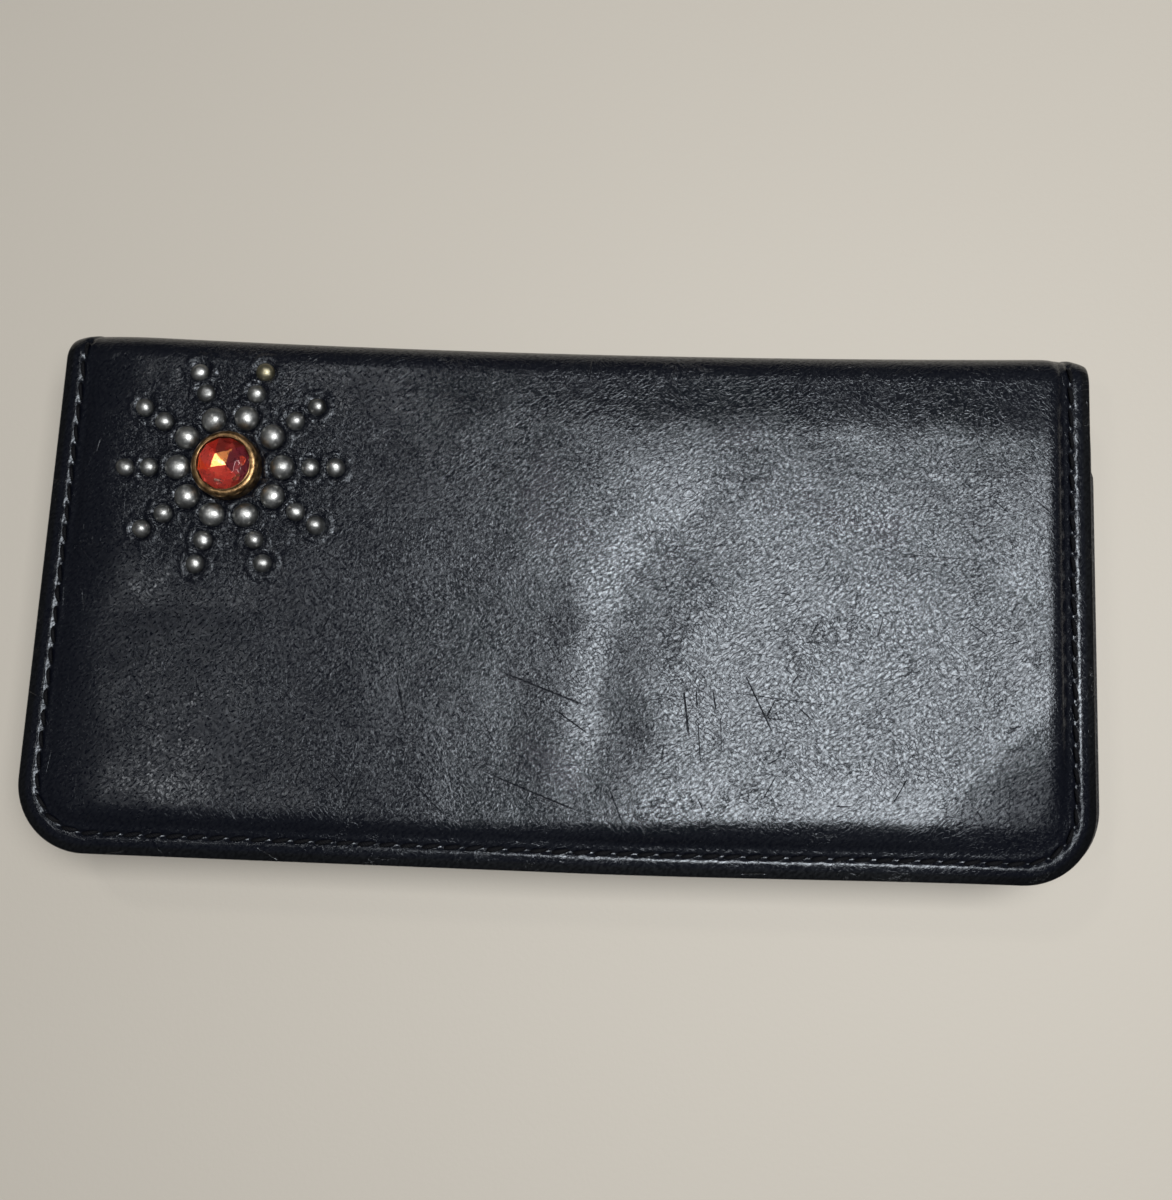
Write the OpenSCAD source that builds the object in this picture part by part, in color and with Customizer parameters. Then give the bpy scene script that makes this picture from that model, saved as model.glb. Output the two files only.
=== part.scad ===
// Zip-around long wallet with a studded sunburst on its front cover.
// It lies closed on its back cover: +X runs along the spine, the spine is at +Y,
// and the studded front cover faces +Z. Units are millimetres.

/* [Wallet] */
// Width of each cover, along the spine
wallet_w = 200; // [180:1:210]
// Depth from the spine to the mouth
wallet_d = 100; // [92:1:108]
// Closed thickness over the leather
wallet_t = 24; // [23:0.5:28]
// Radius of the two corners away from the spine
corner_r = 14; // [11:0.5:18]
// Radius of the leather's roll at each fold
fold_r = 6; // [5.5:0.1:6.5]
// Rise of each cover above its stitched rim
crown = 2; // [1:0.1:2.5]
// How far the front leather sits to the left of the layers below it
cover_shift = 2.6; // [0:0.1:3]

/* [Leather] */
// Outer leather
leather_t = 2; // [1.6:0.1:2.2]
// Linings and spine lining
lining_t = 0.8; // [0.6:0.1:1]
// Card panels, slots and coin pouch walls
panel_t = 0.6; // [0.5:0.1:0.7]
// Leather facing that backs the zip tape at the rim
facing_t = 1.2; // [0.8:0.1:1.4]

/* [Stitching] */
// Seam's distance from the cover's edge
seam_inset = 3.3; // [3:0.1:4]
// Length of one stitch with its gap
stitch_pitch = 4; // [3.5:0.1:5]
// Thread thickness
thread_d = 0.7; // [0.5:0.1:0.8]

/* [Main zip] */
// Distance of the zip tape from the cover's edge
zip_inset = 6.3; // [6:0.1:7]
// Distance of the zip's ends from the back of the spine
zip_start = 14; // [13:0.5:18]
// Spacing of the teeth in one row
tooth_pitch = 2.5; // [2.4:0.1:3]
// Length of the zip slider
slider_l = 11; // [10:0.5:12]

/* [Coin pouch] */
// Width of the pouch
pouch_w = 160; // [140:1:164]
// Depth of the pouch from its tongue to its mouth
pouch_d = 58; // [50:1:60]
// Thickness of the pouch over its walls
pouch_t = 7.8; // [7.7:0.1:8]

/* [Card slots] */
// Card slots in each column
slots = 3; // [3:1:3]
// Width of one card slot
slot_w = 88; // [88:0.5:89]
// Step from one slot's edge to the next
slot_step = 12; // [10:0.5:14]

/* [Sunburst] */
// Centre of the sunburst from the front leather's left edge
burst_x = 34.6; // [33:0.1:40]
// Centre of the sunburst from the back of the spine
burst_y = 26.5; // [25.8:0.1:30]
// Rays of studs
rays = 10; // [8:1:10]
// Turn of the whole sunburst, in degrees
burst_turn = 2.5; // [0:0.5:5]
// Radius of the ring of large studs
ring_large = 10.2; // [10:0.1:11]
// Radius of the inner ring of small studs
ring_inner = 15.8; // [15.4:0.1:16]
// Radius of the outer ring of small studs
ring_outer = 20.5; // [20:0.1:20.6]
// Diameter of a large stud
large_d = 4.9; // [4:0.1:5]
// Diameter of a small stud
small_d = 3.7; // [3:0.1:3.8]
// Diameter of the jewel's brass setting
setting_d = 13.1; // [12:0.1:13.4]

/* [Hidden] */
$fn = 64;
hull_fn = 32;
eps = 0.01;
gap = 0.05;

// Plan position of the layers: the front leather, and everything below it
front_x = -cover_shift / 2;
inner_x = cover_shift / 2;
mouth_y = -wallet_d / 2;
spine_y = wallet_d / 2;
fold_gap = 0.4;
cover_top_y = spine_y - 4;
zip_top_y = spine_y - zip_start;

// Heights of the back half; the front half mirrors them about mid_z
mid_z = wallet_t / 2;
rim_z = crown;
rim_in_z = rim_z + leather_t;
tape_t = 0.6;
facing_in_z = rim_in_z + tape_t + facing_t;
lining_z = rim_in_z;
panel_z = lining_z + lining_t;
slot_z = panel_z + panel_t;

// Pillow profile of a cover: [distance from the edge, share of the crown]
crown_steps = [[5.5, 0], [9, 0.45], [14, 0.8], [20, 1]];
function rise(d) = crown * lookup(d, crown_steps);

// Zip sizes: half widths across the tape and heights along it
tooth_l = 1;
tooth_half = 1.2;
tooth_head = 0.7;
tooth_root = 1.3;
tooth_leg = 2.9;
coin_scale = 0.72;
zip_half_w = wallet_w / 2 - zip_inset;
zip_mouth_y = mouth_y + zip_inset;
zip_r = corner_r - zip_inset;
end_run = slider_l + 2;
slider_y = zip_top_y - slider_l / 2 - 2.2;
slider_z = 4.2;
plate_in = 1.55;
plate_t = 0.8;
flange_t = 1;
tape_slot = 0.6;
bail_h = 2.4;
pull_t = 1.2;
pull_l = 22;

// Coin pouch
pouch_top_y = 38;
pouch_mouth_y = pouch_top_y - pouch_d;
pouch_wall = 0.6;
coin_plane_y = pouch_mouth_y - tape_t;
coin_zip_l = pouch_w - 8;
coin_slider_l = slider_l * coin_scale;
coin_slider_x = -coin_zip_l / 2 + coin_slider_l / 2 + 2.5;

// Card slots
slot_gap = 1;
slot_top_y = 33;
first_slot_y = -37;

// Sunburst
burst = [front_x - wallet_w / 2 + burst_x, spine_y - burst_y];
seat = 0.3;
prong_w = 0.9;
prong_t = 0.3;
lug_l = 0.7;
lug_h = 0.2;
lug_drop = 0.25;
prong_l = leather_t + lug_drop + lug_h;
backing_r = 23;

leather = [0.05, 0.055, 0.07];
leather_in = [0.1, 0.09, 0.09];
thread = [0.03, 0.03, 0.04];
textile = [0.06, 0.06, 0.07];
steel = [0.55, 0.56, 0.57];
brass = [0.55, 0.4, 0.2];

// ---- shared shapes ----

// Plan of a panel: square at the spine, round at the mouth's corners
module panel_plan(cx, inset, top_y, least_r = 1) {
    r = max(corner_r - inset, least_r);
    w = wallet_w / 2 - inset;
    low = mouth_y + inset;
    translate([cx - w, low + r]) square([2 * w, top_y - low - r]);
    translate([cx - w + r, low]) square([2 * (w - r), r + eps]);
    for (side = [-1, 1])
        translate([cx + side * (w - r), low + r]) circle(r);
}

// Plan of a strip that follows the three open edges
module rim_strip_plan(cx, outer, inner, top_y) {
    difference() {
        panel_plan(cx, outer, top_y);
        panel_plan(cx, inner, top_y + 1);
    }
}

// Turns a shape made for the back half into the front half's
module to_front() {
    translate([0, 0, wallet_t]) mirror([0, 0, 1]) children();
}

// Solid under the crown of a cover, with its flat rim at z = 0 and its crown downwards
module pillow(cx) {
    hull()
        for (step = crown_steps)
            translate([0, 0, -crown * step[1]])
                linear_extrude(eps)
                    panel_plan(cx, step[0], cover_top_y, 2, $fn = hull_fn);
}

// Length of the path that runs down the left edge, round the mouth and up the right edge
function path_side(inset, top_y) = top_y - mouth_y - corner_r;
function path_arc(inset) = (corner_r - inset) * PI / 2;
function path_length(inset, top_y) =
    2 * path_side(inset, top_y) + 2 * path_arc(inset) + wallet_w - 2 * corner_r;

// [x, y, heading] at a distance along that path; x is measured from the panel's centre
function path_at(s, inset, top_y) =
    let (
        side = path_side(inset, top_y),
        arc = path_arc(inset),
        r = corner_r - inset,
        half = wallet_w / 2 - corner_r,
        y = mouth_y + corner_r,
        total = path_length(inset, top_y)
    )
    s > total / 2 ? (
        let (p = path_at(total - s, inset, top_y)) [-p[0], p[1], -p[2]]
    ) :
    s < side ? [-half - r, top_y - s, -90] :
    s < side + arc ? (
        let (a = (s - side) / arc * 90) [-half - r * cos(a), y - r * sin(a), a - 90]
    ) : [-half + s - side - arc, y - r, 0];

module at_path(s, cx, inset, top_y) {
    p = path_at(s, inset, top_y);
    translate([cx + p[0], p[1], 0]) rotate([0, 0, p[2]]) children();
}

// ---- covers ----

module cover_shell(cx) {
    difference() {
        intersection() {
            union() {
                translate([0, 0, rim_z]) linear_extrude(leather_t) panel_plan(cx, 0, cover_top_y);
                translate([0, 0, rim_z]) pillow(cx);
            }
            translate([cx, 0, 0]) roll_body(0);
        }
        inner_pillow(cx);
        stitch_groove(cx);
    }
}

// Room under a cover's crown, held inside the leather's roll
module inner_pillow(cx) {
    intersection() {
        translate([0, 0, rim_in_z]) pillow(cx);
        translate([cx, 0, 0]) roll_body(leather_t);
    }
}

// Closed body inside the rolled spine, some way in from its outer face; its ends taper as the crown does
module roll_body(inset) {
    r = fold_r - inset;
    hull()
        for (step = crown_steps)
            along_x(2 * (wallet_w / 2 - (step[1] > 0 ? step[0] : 0)))
                roll_section(inset, crown * (1 - step[1]), r, $fn = hull_fn);
}

// Section of that body: plan X is Y, and plan Y is Z
module roll_section(inset, low, r) {
    back = spine_y - inset;
    z = low + inset;
    translate([mouth_y - 10, z]) square([back - r - mouth_y + 10, wallet_t - 2 * z]);
    translate([back - r - eps, z + r]) square([r + eps, wallet_t - 2 * (z + r)]);
    for (level = [z + r, wallet_t - z - r])
        translate([back - r, level]) circle(r);
}

module stitch_groove(cx) {
    half = thread_d / 2 + 0.15;
    translate([0, 0, rim_z - eps])
        linear_extrude(thread_d + 2 * eps)
            rim_strip_plan(cx, seam_inset - half, seam_inset + half, cover_top_y + 1);
}

module padding(cx) {
    difference() {
        inner_pillow(cx);
        translate([-wallet_w, mouth_y, rim_in_z]) cube([2 * wallet_w, wallet_d, 1]);
        translate([-wallet_w, cover_top_y - 1, 0]) cube([2 * wallet_w, 5, wallet_t]);
    }
}

module stitching(cx) {
    margin = 3;
    total = path_length(seam_inset, cover_top_y) - 2 * margin;
    count = floor(total / stitch_pitch);
    stitch_l = stitch_pitch * 0.78;
    for (i = [0 : count - 1])
        at_path(margin + (i + 0.5) * total / count, cx, seam_inset, cover_top_y)
            translate([-stitch_l / 2, -thread_d / 2, rim_z])
                cube([stitch_l, thread_d, thread_d - gap]);
}

module back_cover() {
    color(leather) cover_shell(inner_x);
}

module front_cover() {
    color(leather)
        difference() {
            to_front() cover_shell(front_x);
            for_studs(ring_large, 0) stud_seat(large_d);
            for_studs(ring_inner, 0) stud_seat(small_d);
            for_studs(ring_outer, 0) stud_seat(small_d);
            on_front(burst) stud_seat(setting_d);
        }
}

module back_padding() {
    color(textile) padding(inner_x);
}

module front_padding() {
    color(textile)
        difference() {
            to_front() padding(front_x);
            translate([burst[0], burst[1], mid_z]) cylinder(r = backing_r + 0.5, h = mid_z);
        }
}

module lining() {
    translate([0, 0, lining_z])
        linear_extrude(lining_t) panel_plan(inner_x, zip_inset + 0.8, cover_top_y);
}

module back_lining() {
    color(leather_in) lining();
}

module front_lining() {
    color(leather_in) to_front() lining();
}

module back_stitching() {
    color(thread) stitching(inner_x);
}

module front_stitching() {
    color(thread) to_front() stitching(front_x);
}

// ---- spine ----

module along_x(length) {
    translate([-length / 2, 0, 0]) rotate([90, 0, 90]) linear_extrude(length) children();
}

// One layer of the rolled spine
module spine_layer(outer, thick) {
    difference() {
        roll_body(outer);
        roll_body(outer + thick);
        translate([-wallet_w, mouth_y - 20, -1])
            cube([2 * wallet_w, cover_top_y + fold_gap - mouth_y + 20, wallet_t + 2]);
    }
}

module spine_leather() {
    color(leather) spine_layer(0, leather_t);
}

module spine_lining() {
    color(leather_in)
        intersection() {
            spine_layer(leather_t + gap, lining_t);
            translate([-wallet_w / 2 + zip_inset, 0, 0]) cube([wallet_w - 2 * zip_inset, spine_y, wallet_t]);
        }
}

// ---- card slots ----

module card_panel() {
    translate([0, 0, panel_z])
        linear_extrude(panel_t) panel_plan(inner_x, zip_inset + 1.6, slot_top_y + 2);
}

// Slot number i of a column, counted from the mouth; side is -1 for left and 1 for right
module card_slot(side, i) {
    low = first_slot_y + (i - 1) * slot_step;
    cx = inner_x + side * (slot_w + slot_gap) / 2;
    notch_r = 9;
    translate([0, 0, slot_z + (i - 1) * panel_t])
        linear_extrude(panel_t)
            difference() {
                translate([cx - slot_w / 2, low]) square([slot_w, slot_top_y - low]);
                translate([cx, low - notch_r * 0.75]) circle(notch_r);
            }
}

module back_card_panel() {
    color(leather_in) card_panel();
}

module front_card_panel() {
    color(leather_in) to_front() card_panel();
}

module back_slot(side, i) {
    color(leather_in) card_slot(side, i);
}

module front_slot(side, i) {
    color(leather_in) to_front() card_slot(side, i);
}

// ---- zip parts shared by the main zip and the coin zip ----

// Section of one tooth across the tape: legs that clamp the tape, and a head past its edge
module tooth_section(k) {
    clamp = tape_t / 2 + gap;
    polygon([
        [-tooth_half * k, -tooth_leg * k], [-clamp, -tooth_leg * k],
        [-clamp, -tooth_root * k], [clamp, -tooth_root * k],
        [clamp, -tooth_leg * k], [tooth_half * k, -tooth_leg * k],
        [tooth_half * k, tooth_head * k], [-tooth_half * k, tooth_head * k]
    ]);
}

// One tooth at the origin: the tape runs along X, and the head points to +Z
module tooth(k) {
    rotate([90, 0, 90]) translate([0, 0, -tooth_l * k / 2]) linear_extrude(tooth_l * k) tooth_section(k);
}

// Slider on a tape that runs along X in the XZ plane, with its outer face towards -Y
module slider_body(length, k) {
    for (face = [-1, 1])
        translate([-length / 2, 0, 0])
            rotate([90, 0, 90])
                linear_extrude(length) slider_half(face, k);
    rotate([0, 0, 180]) translate([0, (plate_in + plate_t) * k, 0]) bail(length, k);
}

// Section of one slider plate with its two flanges
module slider_half(face, k) {
    scale([face, 1])
        polygon([
            [(plate_in + plate_t) * k, -slider_z * k], [(plate_in + plate_t) * k, slider_z * k],
            [tape_slot, slider_z * k], [tape_slot, (slider_z - flange_t) * k],
            [plate_in * k, (slider_z - flange_t) * k], [plate_in * k, -(slider_z - flange_t) * k],
            [tape_slot, -(slider_z - flange_t) * k], [tape_slot, -slider_z * k]
        ]);
}

// Arch on the slider's face that holds the pull; it stands on the XZ plane and rises to +Y
module bail(length, k) {
    half = length * 0.3;
    leg = 1;
    roof = 0.8 * k;
    depth = 2 * k;
    h = bail_h * k;
    translate([0, 0, -depth / 2])
        linear_extrude(depth)
            polygon([
                [-half, -eps], [-half + leg, -eps], [-half + leg, h - roof],
                [half - leg, h - roof], [half - leg, -eps], [half, -eps],
                [half - leg / 2, h], [-half + leg / 2, h]
            ]);
}

// Pull: a bar through the bail, two arms and a tab that reaches to +X, all about the bar's axis on Z
module pull(length, k) {
    arm_in = 1.6 * k;
    arm_w = 1.3 * k;
    bar_r = 0.55 * k;
    tab_x = 6 * k;
    half_t = pull_t * k / 2;
    tab_w = arm_in + arm_w;
    translate([0, 0, -arm_in - eps]) cylinder(r = bar_r, h = 2 * (arm_in + eps));
    rotate([90, 0, 0])
        translate([0, 0, -half_t])
            linear_extrude(2 * half_t) {
                for (side = [-1, 1])
                    translate([-half_t, side > 0 ? arm_in : -arm_in - arm_w])
                        square([tab_x + half_t + 1, arm_w]);
                difference() {
                    union() {
                        translate([tab_x, -tab_w]) square([length - tab_x - tab_w, 2 * tab_w]);
                        translate([length - tab_w, 0]) circle(tab_w);
                    }
                    translate([length - tab_w, 0]) circle(tab_w * 0.4);
                }
            }
}

// ---- main zip ----

// Hem of the tape, sewn between the leather and the facing
module zip_hem() {
    translate([0, 0, rim_in_z])
        linear_extrude(tape_t) rim_strip_plan(inner_x, 0.8, zip_inset - tape_t / 2, zip_top_y);
}

// Wall of the tape, which stands from the leather to the teeth
module zip_tape() {
    translate([0, 0, rim_in_z])
        linear_extrude(mid_z - tooth_root - rim_in_z)
            rim_strip_plan(inner_x, zip_inset - tape_t / 2, zip_inset + tape_t / 2, zip_top_y);
}

module zip_facing() {
    round_r = 2;
    translate([0, 0, rim_in_z + tape_t])
        linear_extrude(facing_t)
            difference() {
                rim_strip_plan(inner_x, 0, zip_inset - tape_t / 2, zip_top_y);
                for (side = [-1, 1])
                    translate([inner_x + side * wallet_w / 2, zip_top_y])
                        difference() {
                            square(2 * round_r, center = true);
                            translate([-side * round_r, -round_r]) circle(round_r);
                        }
            }
}

// A row of teeth from one distance along the path to another
module teeth_row(from, to) {
    for (s = [from : tooth_pitch : to])
        at_path(s, inner_x, zip_inset, zip_top_y)
            translate([0, 0, mid_z]) tooth(1);
}

module back_zip_facing() {
    color(leather_in) zip_facing();
}

module front_zip_facing() {
    color(leather_in) to_front() zip_facing();
}

module back_zip_hem() {
    color(textile) zip_hem();
}

module front_zip_hem() {
    color(textile) to_front() zip_hem();
}

module back_zip_tape() {
    color(textile) zip_tape();
}

module front_zip_tape() {
    color(textile) to_front() zip_tape();
}

module back_zip_teeth() {
    color(steel) teeth_row(end_run - 8, path_length(zip_inset, zip_top_y) - 4);
}

// The front row leaves out the teeth that the closed slider would cover
module front_zip_teeth() {
    color(steel)
        to_front()
            teeth_row(
                end_run - 8 + tooth_pitch * 4.5,
                path_length(zip_inset, zip_top_y) - 4
            );
}

// A metal clamp on the back tape at each end of the zip
module zip_end_stops() {
    stop_l = 1.6;
    color(steel)
        for (side = [-1, 1])
            translate([inner_x + side * zip_half_w, zip_top_y - stop_l / 2 - 0.2, mid_z])
                rotate([0, 0, 90]) scale_stop(stop_l) tooth_section(1);
}

module scale_stop(length) {
    rotate([90, 0, 90]) translate([0, 0, -length / 2]) linear_extrude(length) children();
}

module zip_slider() {
    color(steel)
        translate([inner_x - zip_half_w, slider_y, mid_z])
            rotate([0, 0, -90]) slider_body(slider_l, 1);
}

module zip_pull() {
    color(steel)
        translate([inner_x - zip_half_w - plate_in - plate_t - 0.9, slider_y, mid_z])
            rotate([0, 0, -90]) pull(pull_l, 1);
}

// ---- coin pouch ----

module pouch_wall_plan(mouth) {
    translate([-pouch_w / 2, mouth]) square([pouch_w, pouch_top_y - mouth]);
}

module pouch_upper_wall() {
    color(leather_in)
        translate([0, 0, mid_z + pouch_t / 2 - pouch_wall])
            linear_extrude(pouch_wall) pouch_wall_plan(pouch_mouth_y);
}

module pouch_lower_wall() {
    color(leather_in)
        translate([0, 0, mid_z - pouch_t / 2])
            linear_extrude(pouch_wall) pouch_wall_plan(pouch_mouth_y);
}

module pouch_gusset(side) {
    translate([
        side > 0 ? pouch_w / 2 - pouch_wall : -pouch_w / 2,
        pouch_mouth_y,
        mid_z - pouch_t / 2 + pouch_wall
    ])
        cube([pouch_wall, pouch_d, pouch_t - 2 * pouch_wall]);
}

module pouch_left_gusset() {
    color(leather_in) pouch_gusset(-1);
}

module pouch_right_gusset() {
    color(leather_in) pouch_gusset(1);
}

// Tongue that sews the pouch's end wall to the spine lining
module pouch_tongue() {
    wall_z = pouch_t - 2 * pouch_wall;
    inside_y = spine_y - leather_t - gap - lining_t;
    color(leather_in) {
        translate([-pouch_w / 2 + pouch_wall, pouch_top_y - pouch_wall, mid_z - wall_z / 2])
            cube([pouch_w - 2 * pouch_wall, pouch_wall, wall_z]);
        translate([-pouch_w / 2 + pouch_wall, pouch_top_y - eps, mid_z - panel_t])
            cube([pouch_w - 2 * pouch_wall, inside_y - pouch_top_y + eps, 2 * panel_t]);
    }
}

// Half of the coin zip's tape, on the side that up (1 or -1) says
module coin_tape(up) {
    low = tooth_root * coin_scale;
    high = pouch_t / 2;
    translate([-pouch_w / 2, coin_plane_y, mid_z + (up > 0 ? low : -high)])
        cube([pouch_w, tape_t, high - low]);
}

// Row of coin zip teeth; the upper row is half a pitch along from the lower one
module coin_teeth(up) {
    pitch = tooth_pitch * coin_scale;
    reach = coin_zip_l / 2 - 3;
    for (x = [-reach + (up > 0 ? pitch / 2 : 0) : pitch : reach])
        translate([x, coin_plane_y + tape_t / 2, mid_z])
            mirror([0, 0, up > 0 ? 1 : 0]) tooth(coin_scale);
}

module coin_zip_upper_tape() {
    color(textile) coin_tape(1);
}

module coin_zip_lower_tape() {
    color(textile) coin_tape(-1);
}

module coin_zip_upper_teeth() {
    color(steel) coin_teeth(1);
}

module coin_zip_lower_teeth() {
    color(steel) coin_teeth(-1);
}

module coin_zip_end_stops() {
    color(steel)
        for (side = [-1, 1])
            translate([side * (coin_zip_l / 2 + 1), coin_plane_y + tape_t / 2, mid_z])
                scale_stop(1.4) tooth_section(coin_scale);
}

module coin_zip_slider() {
    color(steel)
        translate([coin_slider_x, coin_plane_y + tape_t / 2, mid_z])
            slider_body(coin_slider_l, coin_scale);
}

module coin_zip_pull() {
    stand_off = (plate_in + plate_t + 0.9) * coin_scale;
    color(steel)
        translate([coin_slider_x, coin_plane_y + tape_t / 2 - stand_off, mid_z])
            pull(pull_l * coin_scale, coin_scale);
}

// ---- sunburst ----

// Height of the front leather at a point
function front_z(p) =
    wallet_t - crown + rise(min(p[0] - front_x + wallet_w / 2, p[1] - mouth_y));

// Puts a shape at a point of the front leather's surface
module on_front(p) {
    translate([p[0], p[1], front_z(p)]) children();
}

module for_studs(radius, turn) {
    for (i = [0 : rays - 1]) {
        angle = i * 360 / rays + burst_turn;
        on_front(burst + radius * [cos(angle), sin(angle)]) rotate([0, 0, angle + turn]) children();
    }
}

// What a stud takes out of the leather: its seat and the slots for its prongs
module stud_seat(d) {
    translate([0, 0, -seat]) cylinder(d = d + 2 * gap, h = 3);
    prong_pair(d, gap);
}

module prong_pair(d, grow) {
    for (side = [-1, 1])
        translate([side * (d / 2 - 0.6) - prong_t / 2 - grow, -prong_w / 2 - grow, -prong_l])
            cube([prong_t + 2 * grow, prong_w + 2 * grow, prong_l - seat + eps]);
}

// Domed stud with two prongs, whose ends are clinched under the leather
module stud(d) {
    dome_h = d * 0.42;
    dome_r = (d * d / 4 + dome_h * dome_h) / (2 * dome_h);
    skirt = 0.3;
    translate([0, 0, -seat]) cylinder(d = d, h = skirt);
    translate([0, 0, -seat + skirt])
        intersection() {
            translate([0, 0, dome_h - dome_r]) sphere(dome_r);
            translate([0, 0, -eps]) cylinder(d = d, h = dome_h + 1);
        }
    prong_pair(d, 0);
    for (side = [-1, 1])
        translate([side > 0 ? d / 2 - 0.6 - lug_l : -d / 2 + 0.6, -prong_w / 2, -prong_l])
            cube([lug_l, prong_w, lug_h]);
}

module large_studs() {
    color(steel) for_studs(ring_large, 0) stud(large_d);
}

module small_studs() {
    color(steel) {
        for_studs(ring_inner, 0) stud(small_d);
        for_studs(ring_outer, 0) stud(small_d);
    }
}

module stud_backing() {
    color(textile)
        difference() {
            translate([burst[0], burst[1], wallet_t - rim_in_z]) cylinder(r = backing_r, h = 0.7);
            translate([-wallet_w, cover_top_y - 1, 0]) cube([2 * wallet_w, 5, wallet_t]);
        }
}

setting_h = 3.4;
glass_d = 10.4;
setting_wall = 0.9;

// Brass cup with a rolled lip over the glass
module jewel_setting() {
    lip = 0.35;
    r = setting_d / 2;
    color(brass)
        on_front(burst) {
            rotate_extrude()
                difference() {
                    union() {
                        translate([0, -seat]) square([r, setting_h * 0.45 + seat]);
                        translate([0, setting_h * 0.45]) square([r - 0.6, setting_h * 0.55]);
                        translate([r - 0.9, setting_h * 0.45]) circle(0.9);
                    }
                    translate([0, 0.4]) square([glass_d / 2 + gap, setting_h - 0.4 - lip]);
                    translate([0, 0.4]) square([glass_d / 2 - lip, setting_h]);
                    translate([-2 * r, -2]) square([2 * r, 8]);
                }
            prong_pair(setting_d, 0);
        }
}

module jewel_foil() {
    color("silver") on_front(burst) translate([0, 0, 0.4]) cylinder(d = glass_d, h = 0.2);
}

// Rose-cut glass: a girdle under the lip, then two rings of facets up to a point
module jewel_glass() {
    girdle_z = 0.6;
    lip_z = setting_h - 0.35 - gap;
    rings = [[glass_d / 2 - 0.45, lip_z, 20, 0], [3.4, lip_z + 1, 10, 18], [0.6, lip_z + 1.5, 5, 0]];
    color([0.75, 0.08, 0.05])
        on_front(burst) {
            translate([0, 0, girdle_z]) cylinder(d = glass_d, h = lip_z - girdle_z);
            hull()
                for (ring = rings)
                    translate([0, 0, ring[1] - eps])
                        rotate([0, 0, ring[3]]) cylinder(r = ring[0], h = 2 * eps, $fn = ring[2]);
        }
}

// ---- nodes ----

back_cover();
back_padding();
back_lining();
back_card_panel();
back_slot(-1, 1);  // back_slot_left_1
back_slot(-1, 2);  // back_slot_left_2
back_slot(-1, 3);  // back_slot_left_3
back_slot(1, 1);  // back_slot_right_1
back_slot(1, 2);  // back_slot_right_2
back_slot(1, 3);  // back_slot_right_3
back_zip_facing();
back_zip_hem();
back_zip_tape();
back_zip_teeth();
back_stitching();
zip_end_stops();
spine_leather();
spine_lining();
pouch_tongue();
pouch_upper_wall();
pouch_lower_wall();
pouch_left_gusset();
pouch_right_gusset();
coin_zip_upper_tape();
coin_zip_lower_tape();
coin_zip_upper_teeth();
coin_zip_lower_teeth();
coin_zip_end_stops();
front_cover();
front_padding();
front_lining();
front_card_panel();
front_slot(-1, 1);  // front_slot_left_1
front_slot(-1, 2);  // front_slot_left_2
front_slot(-1, 3);  // front_slot_left_3
front_slot(1, 1);  // front_slot_right_1
front_slot(1, 2);  // front_slot_right_2
front_slot(1, 3);  // front_slot_right_3
front_zip_facing();
front_zip_hem();
front_zip_tape();
front_zip_teeth();
front_stitching();
large_studs();
small_studs();
stud_backing();
jewel_setting();
jewel_foil();
jewel_glass();
zip_slider();
zip_pull();
coin_zip_slider();
coin_zip_pull();
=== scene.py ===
"""Looks for the zip-around wallet: leather sheets, stitches, studs, jewel, zips and interior."""

import math

import bpy
import numpy as np
from mathutils import Matrix, Vector


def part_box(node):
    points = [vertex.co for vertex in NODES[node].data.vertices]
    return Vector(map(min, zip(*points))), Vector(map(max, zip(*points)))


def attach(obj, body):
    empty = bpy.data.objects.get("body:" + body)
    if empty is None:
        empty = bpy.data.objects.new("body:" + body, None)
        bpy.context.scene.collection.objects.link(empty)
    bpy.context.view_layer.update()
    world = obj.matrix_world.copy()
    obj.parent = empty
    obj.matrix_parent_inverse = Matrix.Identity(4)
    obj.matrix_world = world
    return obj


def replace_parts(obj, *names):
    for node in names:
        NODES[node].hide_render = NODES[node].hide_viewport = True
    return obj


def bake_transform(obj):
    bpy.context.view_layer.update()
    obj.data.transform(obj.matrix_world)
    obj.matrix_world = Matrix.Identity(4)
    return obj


MM = 0.001
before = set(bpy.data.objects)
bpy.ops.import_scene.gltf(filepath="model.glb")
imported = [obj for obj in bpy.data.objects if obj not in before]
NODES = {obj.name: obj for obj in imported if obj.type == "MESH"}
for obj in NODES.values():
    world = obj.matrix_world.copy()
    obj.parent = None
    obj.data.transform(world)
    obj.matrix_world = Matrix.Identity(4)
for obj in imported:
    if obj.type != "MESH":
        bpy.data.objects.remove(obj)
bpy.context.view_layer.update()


# ---------------------------------------------------------------- sizes, in millimetres


def box_mm(node):
    low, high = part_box(node)
    return np.array(low) / MM, np.array(high) / MM


front_lo, front_hi = box_mm("front_cover")
back_lo, back_hi = box_mm("back_cover")

HALF_W = (front_hi[0] - front_lo[0]) / 2
FRONT_X = (front_hi[0] + front_lo[0]) / 2
BACK_X = (back_hi[0] + back_lo[0]) / 2
MOUTH_Y = front_lo[1]
SPINE_Y = box_mm("spine_leather")[1][1]
THICK = front_hi[2]
MID_Z = THICK / 2
LEATHER = 2.0
CROWN = 2.0
FOLD_R = 6.0
CORNER_R = 14.0
# Distance of the seams from the edge; the front's is measured from its proud border
SEAM = 3.3
FRONT_SEAM = SEAM + 0.7
STITCH = 4.0
ROLL_START = SPINE_Y - FOLD_R
# The seams of the covers run on round the fold to here
SEAM_END = ROLL_START + 4.0
FOLD_CORNER = 1.8
# How fast the front cover widens on its left from the fold to the mouth
FLARE = 0.00987
# The front leather's burnished border stands proud of the CAD cover by this much
PROUD_LEFT, PROUD_RIGHT, PROUD_MOUTH = 1.5, 1.2, 1.4
# Its mouth edge runs slightly out of square towards the right-hand end
MOUTH_RISE = 1.0
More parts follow.
